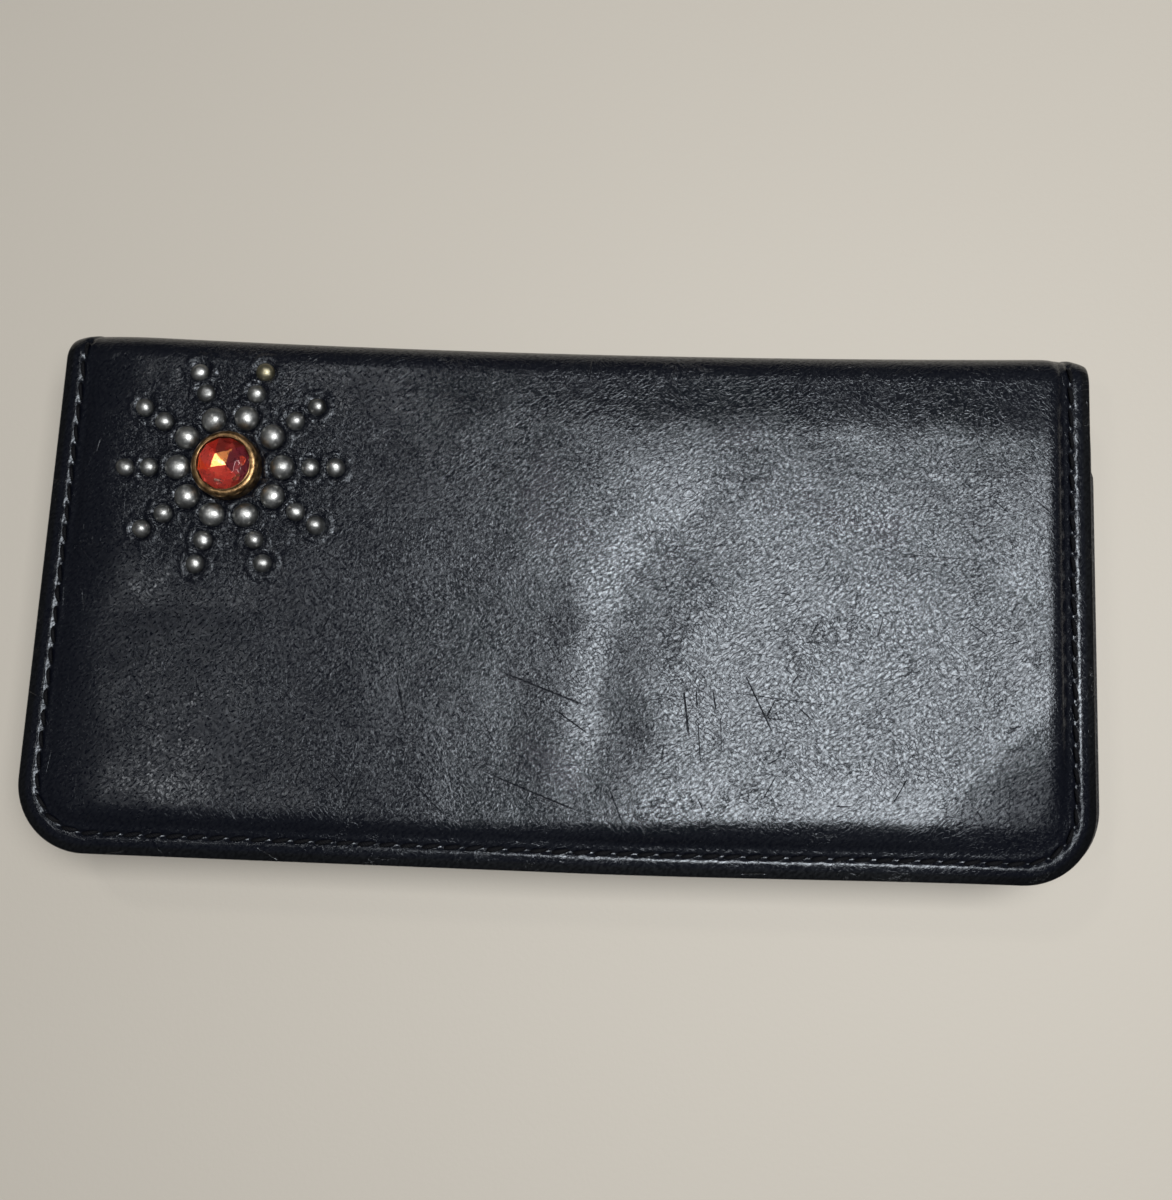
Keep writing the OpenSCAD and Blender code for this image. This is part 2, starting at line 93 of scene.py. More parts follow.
# The fold's ends reach further back than its middle
FOLD_BOW = 1.6

setting_lo, setting_hi = box_mm("jewel_setting")
BURST = (setting_lo[:2] + setting_hi[:2]) / 2
RAYS = 10
RING_LARGE, RING_INNER, RING_OUTER = 10.2, 15.8, 20.5
LARGE_R, SMALL_R = 2.45, 1.85
# The studs press the leather out to here, and the setting presses it inside this radius
BURST_REACH, PRESS_R = 26, 6.55


# ---------------------------------------------------------------- mesh helpers


def new_mesh(name, verts, faces, material=None, smooth=True, uv=None, sharp=None):
    """An object from points in millimetres; sharp is the angle in degrees from which an edge stays crisp."""
    mesh = bpy.data.meshes.new(name)
    mesh.from_pydata((np.asarray(verts) * MM).tolist(), [], faces)
    mesh.update()
    if smooth:
        mesh.polygons.foreach_set("use_smooth", [True] * len(mesh.polygons))
    if uv is not None:
        layer = mesh.uv_layers.new(name="panel")
        loops = np.zeros(len(mesh.loops), np.int32)
        mesh.loops.foreach_get("vertex_index", loops)
        layer.data.foreach_set("uv", (np.asarray(uv)[loops] * MM).astype(np.float32).ravel())
    obj = bpy.data.objects.new(name, mesh)
    bpy.context.scene.collection.objects.link(obj)
    if material is not None:
        mesh.materials.append(material)
    if sharp:
        mesh.set_sharp_from_angle(angle=math.radians(sharp))
    return obj


def point_values(obj, **values):
    """Stores one number per vertex under each name, for the materials to read."""
    for key, numbers in values.items():
        obj.data.attributes.new(key, "FLOAT", "POINT").data.foreach_set("value", np.asarray(numbers, np.float32))


def columns(*parts):
    """Points from the arrays of their coordinates."""
    return np.stack([np.ravel(p) for p in parts], 1)


def smooth_noise(points, seed, wavelength, waves=14):
    """Gentle random relief from -1 to 1: a sum of plane waves of about one wavelength."""
    rng = np.random.default_rng(seed)
    total = np.zeros(len(points))
    for _ in range(waves):
        angle, phase = rng.uniform(0, 2 * math.pi, 2)
        length = wavelength * rng.uniform(0.7, 1.5)
        k = 2 * math.pi / length
        total += np.sin(k * (points[:, 0] * math.cos(angle) + points[:, 1] * math.sin(angle)) + phase)
    return total / math.sqrt(waves) / 1.4


def smoothstep(u):
    u = np.clip(u, 0, 1)
    return u * u * (3 - 2 * u)


def tidy_ring(ring):
    """A face's vertex numbers without the ones that repeat."""
    return [v for i, v in enumerate(ring) if v != ring[i - 1]]


def grid_faces(index):
    """Quads of a 2-D array of vertex numbers, without the quads that close up to a line."""
    a, b, c, d = index[:-1, :-1], index[:-1, 1:], index[1:, 1:], index[1:, :-1]
    quads = np.stack([a, b, c, d], -1).reshape(-1, 4)
    rings = [tidy_ring(q) for q in quads.tolist()]
    return [r for r in rings if len(r) > 2]


def close_sheet(outer, inner, faces, on_edge):
    """Joins an outer and an inner face that share their edge points; also gives each point's number inside."""
    number = np.full(len(outer), -1)
    number[~on_edge] = len(outer) + np.arange((~on_edge).sum())
    number[on_edge] = np.nonzero(on_edge)[0]
    verts = np.concatenate([outer, inner[~on_edge]])
    return verts, faces + [[int(number[v]) for v in f[::-1]] for f in faces], number


def tube_faces(rows, around, caps=True):
    """Quads between rows of around points each, and the two flat ends."""
    faces = [[i * around + j, i * around + (j + 1) % around, (i + 1) * around + (j + 1) % around, (i + 1) * around + j]
             for i in range(rows - 1) for j in range(around)]
    if caps:
        faces += [list(range(around))[::-1], [(rows - 1) * around + j for j in range(around)]]
    return faces


class Bag:
    """Collects many small parts into one mesh."""

    def __init__(self):
        self.verts, self.faces, self.count = [], [], 0

    def add(self, verts, faces):
        self.verts.append(np.asarray(verts, float))
        self.faces.extend([[v + self.count for v in f] for f in faces])
        self.count += len(verts)

    def mesh(self, name, material, sharp=None):
        return new_mesh(name, np.concatenate(self.verts), self.faces, material, sharp=sharp)


# ---------------------------------------------------------------- developed panel

EDGE_LEVELS = np.array([0, 0.02, 0.08, 0.18, 0.34, 0.56, 0.84, 1.15, 1.5, 1.85, 2.15, 2.45, 2.7, 2.95, 3.15, 3.35, 3.55,
                        3.75, 3.95, 4.15, 4.35, 4.6, 4.9, 5.25, 5.7, 6.3, 7.0, 7.8, 8.7, 9.8, 11.0, 12.4, CORNER_R])


def even_grid(step):
    """A grid maker: x from -hx to hx, t from low to t_end, in even steps."""

    def make(hx, low, t_end):
        xs = np.linspace(-hx, hx, int(round(2 * hx / step)) + 1)
        return xs, np.linspace(low, t_end, int(round((t_end - low) / step)) + 1)

    return make


def burst_grid(hx, low, t_end):
    """A grid maker that is finer where the studs sit."""
    fine, coarse, round_fold, reach = 0.36, 0.62, 0.5, 24
    left, right, bottom = BURST[0] - FRONT_X - reach, BURST[0] - FRONT_X + reach, BURST[1] - reach
    left = max(left, -hx)
    xs = [spaced(-hx, left, coarse), spaced(left, right, fine), spaced(right, hx, coarse)]
    ts = [spaced(low, bottom, coarse), spaced(bottom, ROLL_START + 3, fine), spaced(ROLL_START + 3, t_end, round_fold)]
    return np.unique(np.concatenate(xs)), np.unique(np.concatenate(ts))


def run_lengths(line):
    """Distance along a line of points, at each point."""
    return np.concatenate([[0], np.cumsum(np.hypot(*np.diff(np.array(line), axis=0).T))])


def spaced(a, b, step):
    return np.round(np.linspace(a, b, max(1, int(round((b - a) / step))) + 1), 4)


def panel_points(half_w, corner_r, mouth, levels, xs, ts):
    """Points (x, t) of a panel with two round corners, and its quads. t is Y on the flat and runs on round the roll."""
    hx, low = half_w - corner_r, mouth + corner_r
    angles = np.linspace(0, math.pi / 2, int(round(corner_r * 3.2)) + 1)
    blocks = [np.meshgrid(xs, ts)]
    for side in (-1, 1):
        d, t = np.meshgrid(levels, ts)
        blocks.append((side * (half_w - d), t))
        d, a = np.meshgrid(levels, angles)
        r = corner_r - d
        blocks.append((side * (hx + r * np.cos(a)), low - r * np.sin(a)))
    x, d = np.meshgrid(xs, levels)
    blocks.append((x, mouth + d))
    points = np.concatenate([columns(x, t) for x, t in blocks])
    _, first, inverse = np.unique(np.round(points * 500).astype(np.int64), axis=0, return_index=True,
                                  return_inverse=True)
    inverse = inverse.ravel()
    points = points[first]
    faces, start = [], 0
    for x, t in blocks:
        index = inverse[start:start + x.size].reshape(x.shape)
        start += x.size
        found = grid_faces(index)
        q = points[np.array([f[:3] for f in found[len(found) // 2:len(found) // 2 + 1]])[0]]
        area = (q[1, 0] - q[0, 0]) * (q[2, 1] - q[0, 1]) - (q[1, 1] - q[0, 1]) * (q[2, 0] - q[0, 0])
        faces.extend(found if area > 0 else [f[::-1] for f in found])
    return points, faces


def edge_distance(points, half_w, corner_r, mouth=MOUTH_Y):
    """Distance to the panel's three open edges."""
    ax = np.abs(points[:, 0])
    side, low = half_w - ax, points[:, 1] - mouth
    d = np.minimum(side, low)
    cx, cy = ax - (half_w - corner_r), (mouth + corner_r) - points[:, 1]
    corner = (cx > 0) & (cy > 0)
    return np.where(corner, corner_r - np.hypot(cx, cy), d)


def crown_drop(points, d, half_w=HALF_W, mouth=MOUTH_Y):
    """How far each point lies below the plateau: steep at the edges, gentle towards the far corner."""
    x, t = points[:, 0], points[:, 1]
    height = smoothstep((d - 5.0) / 2.0)
    far_corner = (half_w - x + t - mouth) / math.sqrt(2)
    mouth_width = 4.2 + 1.8 * smoothstep((x + 5) / 60)
    for reach, width, power in ((x + half_w - 5, 13.0, 2.2), (half_w - x - 4.6, 3.8, 1.5),
                                (t - mouth - 5, mouth_width, 1.7), (far_corner - 9.5, 21.0, 1.15)):
        height = height * (1 - np.clip(1 - reach / width, 0, 1) ** power)
    slack = (1 - smoothstep((x + 8) / 28)) * smoothstep((8 - t) / 14)
    return CROWN * (1 - height * (1 - 0.4 * slack)) + 0.9 * smoothstep((t - 33) / 16) * height


def panel_to_space(points, drop, off, roll_r=FOLD_R, roll_y=ROLL_START, high_z=THICK):
    """Places (x, t) in space: flat, round the roll and down the wall; off is along the outward normal."""
    x, t = points[:, 0], points[:, 1]
    phi = np.clip((t - roll_y) / roll_r, 0, math.pi / 2)
    arc_end = roll_y + roll_r * math.pi / 2
    down = np.clip(t - arc_end, 0, None)
    centre_z = high_z - drop - roll_r
    wall = high_z - roll_r - MID_Z
    y = np.where(t < roll_y, t, roll_y + (roll_r + off) * np.sin(phi))
    y = y + FOLD_BOW * (x / HALF_W) ** 2 * smoothstep((t - roll_y + 14) / 20)
    z = centre_z + (roll_r + off) * np.cos(phi) - down * (centre_z - MID_Z) / wall
    return columns(x, y, z)


def edge_round(d, half_t, width):
    """How far the face has turned down towards mid-thickness, at distance d from a rounded edge."""
    u = np.clip(1 - d / width, 0, 1)
    return half_t * (1 - np.sqrt(np.clip(1 - u ** 2.4, 0, 1)))


def leather_sheet(name, cx, material, relief=None, half_w=HALF_W, corner_r=CORNER_R, grid=None, thick=LEATHER,
                  levels=EDGE_LEVELS, crowned=True, roll_r=FOLD_R, roll_y=ROLL_START, high_z=THICK,
                  mouth=MOUTH_Y, width=0.95, flip=False, flare=0.0, rise=0.0):
    """One bent sheet with rounded edges, as a closed mesh; flip makes the back half's."""
    t_end = roll_y + roll_r * math.pi / 2 + (high_z - roll_r - MID_Z)
    points, faces = panel_points(half_w, corner_r, mouth, levels, *grid(half_w - corner_r, mouth + corner_r, t_end))
    d = edge_distance(points, half_w, corner_r, mouth)
    drop = crown_drop(points, d, half_w, mouth) if crowned else np.zeros(len(d))
    turn = edge_round(d, thick / 2, width)
    plan = columns(plan_x(points, cx, flare, roll_y, roll_r, half_w), plan_y(points, rise))
    bumps = relief(plan, d) * (1 - 2 * turn / thick) if relief else np.zeros(len(d))
    outer = panel_to_space(plan, drop, bumps - turn, roll_r, roll_y, high_z)
    inner = panel_to_space(plan, drop, turn - thick, roll_r, roll_y, high_z)
    on_edge = d < 1e-4
    outer[on_edge] = inner[on_edge] = (outer[on_edge] + inner[on_edge]) / 2
    verts, faces, number = close_sheet(outer, inner, faces, on_edge)
    uv = np.concatenate([plan, plan[~on_edge]])
    last = np.nonzero(points[:, 1] > t_end - 1e-6)[0]
    last = last[np.argsort(points[last, 0])]
    for a, b in zip(last[:-1].tolist(), last[1:].tolist()):
        faces.append(tidy_ring([b, a, int(number[a]), int(number[b])]))
    if flip:
        verts[:, 2] = THICK - verts[:, 2]
        faces = [f[::-1] for f in faces]
    obj = new_mesh(name, verts, faces, material, uv=uv, sharp=60)
    inside = d[~on_edge]
    point_values(obj, rim=np.concatenate([d, inside]), flesh=np.repeat((0, 1), (len(d), len(inside))))
    return obj


def plan_x(points, cx, flare, roll_y=ROLL_START, roll_r=FOLD_R, half_w=HALF_W):
    """World x of a panel's points: the flare of its left edge, its shift and the rounded fold corners."""
    x, t = points[:, 0] + cx, points[:, 1]
    arc = roll_r * math.pi / 2
    fade = smoothstep((t - roll_y) / (arc + 5))
    x = np.where(x < 0, x * (1 - flare * t / 50 * (1 - fade)), x) - cx * fade
    x = x * (1 - max(0.0, 1 - HALF_W / half_w) * fade)
    reach = np.clip(roll_r * np.sin(np.clip((t - roll_y) / roll_r, 0, math.pi / 2)) - roll_r + FOLD_CORNER, 0, None)
    pull = FOLD_CORNER - np.sqrt(np.clip(FOLD_CORNER ** 2 - reach ** 2, 0, None))
    return x * (1 - pull / HALF_W)


def plan_y(points, rise):
    """World y of a panel's points on the flat, with its mouth edge drawn in towards the right-hand end."""
    return points[:, 1] + rise * smoothstep((points[:, 0] - 5) / 85) * smoothstep((-22 - points[:, 1]) / 24)


def seam_path(half_w, inset, top_t, corner_r=CORNER_R, mouth=MOUTH_Y):
    """Returns a function from distance to (x, t, heading) on the line that runs inset from the three open edges."""
    r = corner_r - inset
    side = top_t - mouth - corner_r
    arc = r * math.pi / 2
    run = 2 * (half_w - corner_r)
    total = 2 * side + 2 * arc + run

    def at(s):
        mirror = 1
        if s > total / 2:
            s, mirror = total - s, -1
        if s < side:
            x, t, a = -(half_w - inset), top_t - s, -math.pi / 2
        elif s < side + arc:
            b = (s - side) / r
            x, t, a = -(half_w - corner_r) - r * math.cos(b), mouth + corner_r - r * math.sin(b), b - math.pi / 2
        else:
            x, t, a = -(half_w - corner_r) + s - side - arc, mouth + inset, 0.0
        return mirror * x, t, mirror * a

    return at, total


# ---------------------------------------------------------------- material helpers


class Nodes:
    """Builds one node material: add() makes a node and wires or sets its inputs."""

    def __init__(self, name):
        self.material = bpy.data.materials.new(name)
        self.material.use_nodes = True
        self.tree = self.material.node_tree
        self.shader = self.tree.nodes["Principled BSDF"]

    def add(self, kind, values=None, **settings):
        node = self.tree.nodes.new("ShaderNode" + kind)
        for key, value in settings.items():
            setattr(node, key, value)
        self.feed(node, values or {})
        return node

    def feed(self, node, values):
        for key, value in values.items():
            if isinstance(value, bpy.types.NodeSocket):
                self.tree.links.new(value, node.inputs[key])
            else:
                node.inputs[key].default_value = value

    def math(self, kind, a, b=0.0, clamp=False):
        return self.add("Math", {0: a, 1: b}, operation=kind, use_clamp=clamp).outputs[0]

    def times(self, a, b):
        return self.math("MULTIPLY", a, b)

    def number_mix(self, share, a, b):
        return self.add("Mix", {0: share, 2: a, 3: b}).outputs[0]

    def vector(self, kind, a, b):
        return self.add("VectorMath", {0: a, 1: b}, operation=kind).outputs

    def place(self, space="panel"):
        """Coordinates in millimetres: the developed panel's, or the object's own."""
        if space == "panel":
            source = self.add("UVMap", uv_map="panel").outputs[0]
        else:
            source = self.add("TexCoord").outputs["Object"]
        return self.add("VectorMath", {0: source, "Scale": 1000.0}, operation="SCALE").outputs[0]

    def noise(self, where, size, detail=2.0, rough=0.5, warp=0.0, stretch=None):
        """Noise whose features are about size millimetres."""
        if stretch:
            where = self.add("Mapping", {0: where, "Rotation": (0, 0, stretch[1]), "Scale": (stretch[0], 1, 1)},
                             vector_type="TEXTURE").outputs[0]
        return self.add("TexNoise", {"Vector": where, "Scale": 1 / size, "Detail": detail, "Roughness": rough,
                                     "Distortion": warp}).outputs[0]

    def warped(self, where, size, amount):
        """where, shifted about by up to amount millimetres."""
        colour = self.add("TexNoise", {"Vector": where, "Scale": 1 / size, "Detail": 2.0}).outputs["Color"]
        shift = self.vector("SUBTRACT", colour, (0.5, 0.5, 0.5))[0]
        return self.add("VectorMath", {0: shift, 1: (2 * amount,) * 3, 2: where}, operation="MULTIPLY_ADD").outputs[0]

    def cells(self, where, size, feature="DISTANCE_TO_EDGE", random=1.0, dims="2D"):
        return self.add("TexVoronoi", {"Vector": where, "Scale": 1 / size, "Randomness": random}, feature=feature,
                        voronoi_dimensions=dims)

    def span(self, value, low, high, to_low=0.0, to_high=1.0, smooth=False):
        return self.add("MapRange", {"Value": value, "From Min": low, "From Max": high, "To Min": to_low,
                                     "To Max": to_high},
                        interpolation_type="SMOOTHSTEP" if smooth else "LINEAR").outputs[0]

    def mix(self, share, a, b):
        return self.add("Mix", {0: share, 6: a, 7: b}, data_type="RGBA").outputs[2]

    def attribute(self, name):
        return self.add("Attribute", attribute_name=name).outputs["Fac"]

    def bump(self, height, depth, below=None):
        values = {"Height": height, "Distance": depth * MM, "Strength": 1.0}
        if below is not None:
            values["Normal"] = below
        return self.add("Bump", values).outputs[0]

    def finish(self, **values):
        names = {"colour": "Base Color", "roughness": "Roughness", "metallic": "Metallic", "normal": "Normal",
                 "specular": "Specular IOR Level", "specular_tint": "Specular Tint", "sheen": "Sheen Weight",
                 "sheen_roughness": "Sheen Roughness", "transmission": "Transmission Weight", "ior": "IOR"}
        self.feed(self.shader, {names[k]: v for k, v in values.items()})
        return self.material


def rgb(r, g, b):
    return (r, g, b, 1.0)


def scratch_axes(n, offset, angle):
    """Distances along and across a scratch through the origin."""
    turned = n.add("VectorRotate", {"Vector": offset, "Angle": angle}, rotation_type="Z_AXIS").outputs[0]
    xyz = n.add("SeparateXYZ", {0: turned})
    return n.math("ABSOLUTE", xyz.outputs[0]), n.math("ABSOLUTE", xyz.outputs[1])


def scratch_field(n, where, cell, half_length, half_width, share):
    """Random straight scratches, at most one per cell of the plane, as a mask from 0 to 1."""
    cells = n.cells(where, cell, "F1", 0.9)
    offset = n.vector("SUBTRACT", where, cells.outputs["Position"])[0]
    parts = n.add("SeparateColor", {0: cells.outputs["Color"]})
    along, across = scratch_axes(n, offset, n.times(parts.outputs[0], 2 * math.pi))
    reach = n.times(parts.outputs[1], half_length)
    ends = n.math("SUBTRACT", reach, along)
    line = n.times(n.span(across, 0, half_width, 1, 0), n.span(ends, 0, half_length * 0.3))
    return n.times(line, n.math("LESS_THAN", parts.outputs[2], share))


def scratch_line(n, where, start, end, half_width):
    """One straight scratch from start to end, as a mask from 0 to 1."""
    start, end = np.array(start, float), np.array(end, float)
    centre, way = (start + end) / 2, end - start
    length, angle = np.hypot(*way), math.atan2(way[1], way[0])
    offset = n.vector("SUBTRACT", where, (*centre, 0))[0]
    along, across = scratch_axes(n, offset, -angle)
    return n.times(n.span(across, 0, half_width, 1, 0), n.span(along, length * 0.3, length / 2, 1, 0))


# ---------------------------------------------------------------- materials


def off_middle(n, noise):
    return n.math("ABSOLUTE", n.math("SUBTRACT", noise, 0.5))


def wrinkles(n, where, size, stretch):
    """Short creases between smooth islands, as a height from 0 in a crease to 1 on an island."""
    field = n.noise(where, size, 1.5, 0.5, warp=0.5, stretch=stretch)
    return n.span(off_middle(n, field), 0.0, 0.075, smooth=True)


# The corner where the front cover's wax is worn thin, in millimetres
WORN_CORNER = (97.0, -47.0)


def make_outer_leather(name, front):
    n = Nodes(name)
    where = n.place()
    rim, flesh = n.attribute("rim"), n.attribute("flesh")
    large = n.noise(where, 26.0, 3.0, 0.55)
    patches = n.span(n.noise(where, 15.0, 3.0, 0.6), 0.47, 0.66, smooth=True)
    lean = n.span(n.noise(where, 17.0, 2.0, 0.5), 0.42, 0.58, smooth=True)
    one_way = wrinkles(n, where, 0.75, (2.3, 0.55))
    other_way = wrinkles(n, where, 0.8, (1.7, -0.8))
    grain = n.number_mix(lean, one_way, other_way)
    fine = wrinkles(n, n.vector("ADD", where, (7.0, 3.0, 0))[0], 0.45, (1.5, 1.3))
    wander = n.noise(where, 4.6, 4.0, 0.6, warp=0.9, stretch=(1.7, 0.5))
    crease = n.span(off_middle(n, wander), 0.0, 0.014, 1, 0, smooth=True)
    crease = n.times(crease, patches)
    ripple = n.noise(where, 1.7, 4.0, 0.62, warp=0.6, stretch=(1.8, 0.6))
    scuffs = scratch_field(n, where, 17.0, 6.0, 0.13, 0.15)
    nicks = scratch_field(n, n.vector("ADD", where, (31.0, 17.0, 0))[0], 8.0, 2.6, 0.10, 0.45)
    marks = n.math("MAXIMUM", scuffs, nicks)
    if front:
        for line in FRONT_SCRATCHES:
            marks = n.math("MAXIMUM", marks, scratch_line(n, where, *line))
    away = n.vector("DISTANCE", where, (*BURST, 0))["Value"]
    burst = n.span(away, 17.0, 27.0, 1, 0, smooth=True) if front else 0.0
    cracks = n.cells(n.warped(where, 0.9, 0.5), 1.25)
    crack = n.times(n.span(cracks.outputs["Distance"], 0.0, 0.13, 1, 0, smooth=True), burst)
    edge = n.span(rim, 1.2, 2.2, 1, 0, smooth=True)
    smooth_rim = n.span(rim, 1.0, 6.0, 0.3, 0.55)
    smooth_rim = n.math("ADD", smooth_rim, n.span(rim, 14.0, 24.0, 0.0, 0.45, smooth=True))
    normal = n.bump(n.times(ripple, smooth_rim), 0.055)
    normal = n.bump(n.times(crease, -1.0), 0.05, normal)
    normal = n.bump(n.times(crack, -1.0), 0.075, normal)
    normal = n.bump(n.times(fine, smooth_rim), 0.009, normal)
    normal = n.bump(n.times(grain, smooth_rim), 0.027, normal)
    normal = n.bump(n.times(marks, -1.0), 0.09, normal)
    shade = n.mix(large, rgb(0.0020, 0.0026, 0.0052), rgb(0.0046, 0.0050, 0.0082))
    shade = n.mix(n.times(marks, 0.3), shade, rgb(0.02, 0.02, 0.024))
    shade = n.mix(n.times(edge, 0.8), shade, rgb(0.003, 0.003, 0.003))
    shade = n.mix(flesh, shade, rgb(0.02, 0.016, 0.014))
    rough = n.math("ADD", n.span(large, 0.3, 0.7, -0.02, 0.03), n.span(grain, 0.0, 1.0, 0.28, 0.15))
    rough = n.math("ADD", rough, n.times(marks, 0.15))
    rough = n.number_mix(edge, rough, 0.22)
    rough = n.number_mix(flesh, rough, 0.85)
    wax = n.noise(where, 0.5, 2.0, 0.6, stretch=(1.7, 0.7))
    wax = n.span(wax, 0.37, 0.63, 0.2, 0.86)
    if front:
        across = n.add("SeparateXYZ", {0: where}).outputs[0]
        corner = n.vector("DISTANCE", where, (*WORN_CORNER, 0))["Value"]
        kept = n.span(across, -60.0, 5.0, 0.68, 1.0, smooth=True)
        kept = n.times(kept, n.span(corner, 10.0, 30.0, 0.35, 1.0, smooth=True))
        wax = n.times(wax, kept)
    return n.finish(colour=shade, roughness=rough, normal=normal, specular=wax, specular_tint=rgb(0.89, 0.94, 1.0))


def make_lining(name, colour, light, space="panel", rough=0.55, pore=0.7):
    n = Nodes(name)
    where = n.place(space)
    cloud = n.noise(where, 14.0, 3.0, 0.6)
    dims = "2D" if space == "panel" else "3D"
    grain = n.span(n.cells(n.warped(where, 1.6, 0.3), pore, dims=dims).outputs["Distance"], 0.0, 0.25, smooth=True)
    fibre = n.noise(where, 0.3, 3.0, 0.7)
    normal = n.bump(grain, 0.06)
    normal = n.bump(fibre, 0.03, normal)
    normal = n.bump(n.noise(where, 5.0, 3.0, 0.6), 0.16, normal)
    shade = n.mix(n.times(grain, n.span(cloud, 0.35, 0.68)), colour, light)
    return n.finish(colour=shade, roughness=n.span(cloud, 0.3, 0.7, rough - 0.07, rough + 0.08), normal=normal,
                    sheen=0.12, sheen_roughness=0.5)


def make_thread(name, colour, light):
    n = Nodes(name)
    where = n.place("object")
    twist = n.add("TexWave", {"Vector": where, "Scale": 1.1, "Distortion": 1.2, "Detail": 1.0},
                  bands_direction="DIAGONAL").outputs[0]
    fuzz = n.noise(where, 0.15, 3.0, 0.6)
    normal = n.bump(fuzz, 0.04, n.bump(twist, 0.07))
    return n.finish(colour=n.mix(n.times(twist, fuzz), colour, light),
                    roughness=n.span(fuzz, 0.3, 0.7, 0.55, 0.7), normal=normal, specular=0.1)


def make_metal(name, colour, dark, rough, patina=0.6, scale=1.0, tint=False, relief=1.0):
    n = Nodes(name)
    where = n.place("object")
    cloud = n.noise(where, 1.3 * scale, 4.0, 0.65)
    pits = n.noise(where, 0.35 * scale, 3.0, 0.7)
    brush = n.noise(where, 0.5 * scale, 3.0, 0.6, stretch=(6.0, 0.7))
    worn = n.span(cloud, 0.35, 0.62, smooth=True)
    shade = n.mix(n.times(n.math("SUBTRACT", 1.0, worn), patina), colour, dark)
    if tint:
        # Painted shade: each stud is darkened down its lower flanks towards its base, where it meets the leather.
        low = n.attribute("low")
        shade = n.mix(n.times(low, 0.85), shade, dark)
        shade = n.mix(n.attribute("brassy"), shade, rgb(0.36, 0.31, 0.16))
        shade = n.mix(n.attribute("dim"), shade, dark)
    normal = n.bump(pits, 0.025 * scale * relief, n.bump(cloud, 0.05 * scale * relief))
    normal = n.bump(brush, 0.008 * scale * relief, normal)
    return n.finish(colour=shade, metallic=1.0, roughness=n.span(pits, 0.3, 0.7, rough - 0.06, rough + 0.12),
                    normal=normal)


def make_weave(name, colour, light, pitch=0.55):
    """Twill tape: ribs across and a fine diagonal."""
    n = Nodes(name)
    where = n.place()
    xyz = n.add("SeparateXYZ", {0: where})
    warp = n.math("SINE", n.times(xyz.outputs[0], 2 * math.pi / pitch))
    slant = n.math("ADD", xyz.outputs[1], xyz.outputs[0])
    weft = n.math("SINE", n.times(slant, 2 * math.pi / (pitch * 1.7)))
    cloth = n.times(n.span(warp, -1, 1), n.span(weft, -1, 1, 0.35, 1))
    fuzz = n.noise(where, 0.2, 3.0, 0.7)
    normal = n.bump(fuzz, 0.04, n.bump(cloth, 0.1))
    shade = n.mix(n.times(cloth, fuzz), colour, light)
    return n.finish(colour=shade, roughness=n.span(fuzz, 0.3, 0.7, 0.75, 0.92), normal=normal, sheen=0.25,
                    sheen_roughness=0.5)


def make_felt(name):
    n = Nodes(name)
    where = n.place("object")
    hair = n.noise(where, 0.4, 5.0, 0.75, warp=1.5)
    clump = n.noise(where, 3.0, 3.0, 0.6)
    shade = n.mix(n.times(hair, clump), rgb(0.05, 0.05, 0.052), rgb(0.2, 0.2, 0.2))
    return n.finish(colour=shade, roughness=n.span(hair, 0.3, 0.7, 0.85, 1.0), normal=n.bump(hair, 0.2), sheen=0.3,
                    sheen_roughness=0.6)


def make_glass(name):
    n = Nodes(name)
    where = n.place("object")
    cloud = n.noise(where, 4.0, 2.0, 0.5)
    shade = n.mix(cloud, rgb(1.0, 0.72, 0.62), rgb(0.98, 0.62, 0.55))
    normal = n.bump(n.noise(where, 1.5, 2.0, 0.5), 0.02)
    return n.finish(colour=shade, roughness=n.span(n.noise(where, 0.8, 3.0, 0.6), 0.4, 0.7, 0.02, 0.07), normal=normal,
                    transmission=1.0, ior=1.55)


def make_foil(name):
    n = Nodes(name)
    where = n.place("object")
    # The panels' colours are painted highlight and painted shade, given in gem_foil.
    colour = n.add("Attribute", attribute_name="painted_facet_shading").outputs["Color"]
    cloud = n.noise(where, 1.0, 3.0, 0.6)
    shade = n.mix(n.times(cloud, 0.15), colour, rgb(0.8, 0.3, 0.15))
    return n.finish(colour=shade, metallic=0.45, roughness=n.span(cloud, 0.3, 0.7, 0.22, 0.4),
                    normal=n.bump(cloud, 0.06))


def make_floor(name):
    n = Nodes(name)
    where = n.place("object")
    cloud = n.noise(where, 300.0, 3.0, 0.5)
    grain = n.noise(where, 1.2, 3.0, 0.6)
    shade = n.mix(cloud, rgb(0.545, 0.495, 0.427), rgb(0.585, 0.535, 0.463))
    return n.finish(colour=shade, roughness=n.span(cloud, 0.3, 0.7, 0.5, 0.62), normal=n.bump(grain, 0.03))


# Scratches on the front, in millimetres: start, end and half width
FRONT_SCRATCHES = [
    ((-13, -14), (5, -20.5), 0.2),
    ((-15, -33), (4, -40), 0.16),
    ((22.5, -16), (23.8, -25.5), 0.2),
    ((24.9, -16.4), (25.2, -20.0), 0.12),
    ((25.4, -22.6), (26.1, -30.5), 0.1),
    ((28.1, -16.6), (28.7, -20.4), 0.13),
    ((29.6, -21.5), (29.9, -28.0), 0.07),
    ((32.0, -16.9), (50.0, -18.6), 0.06),
    ((34.5, -20.8), (47.0, -22.4), 0.05),
    ((62.0, 10.5), (78.0, 9.8), 0.06),
]

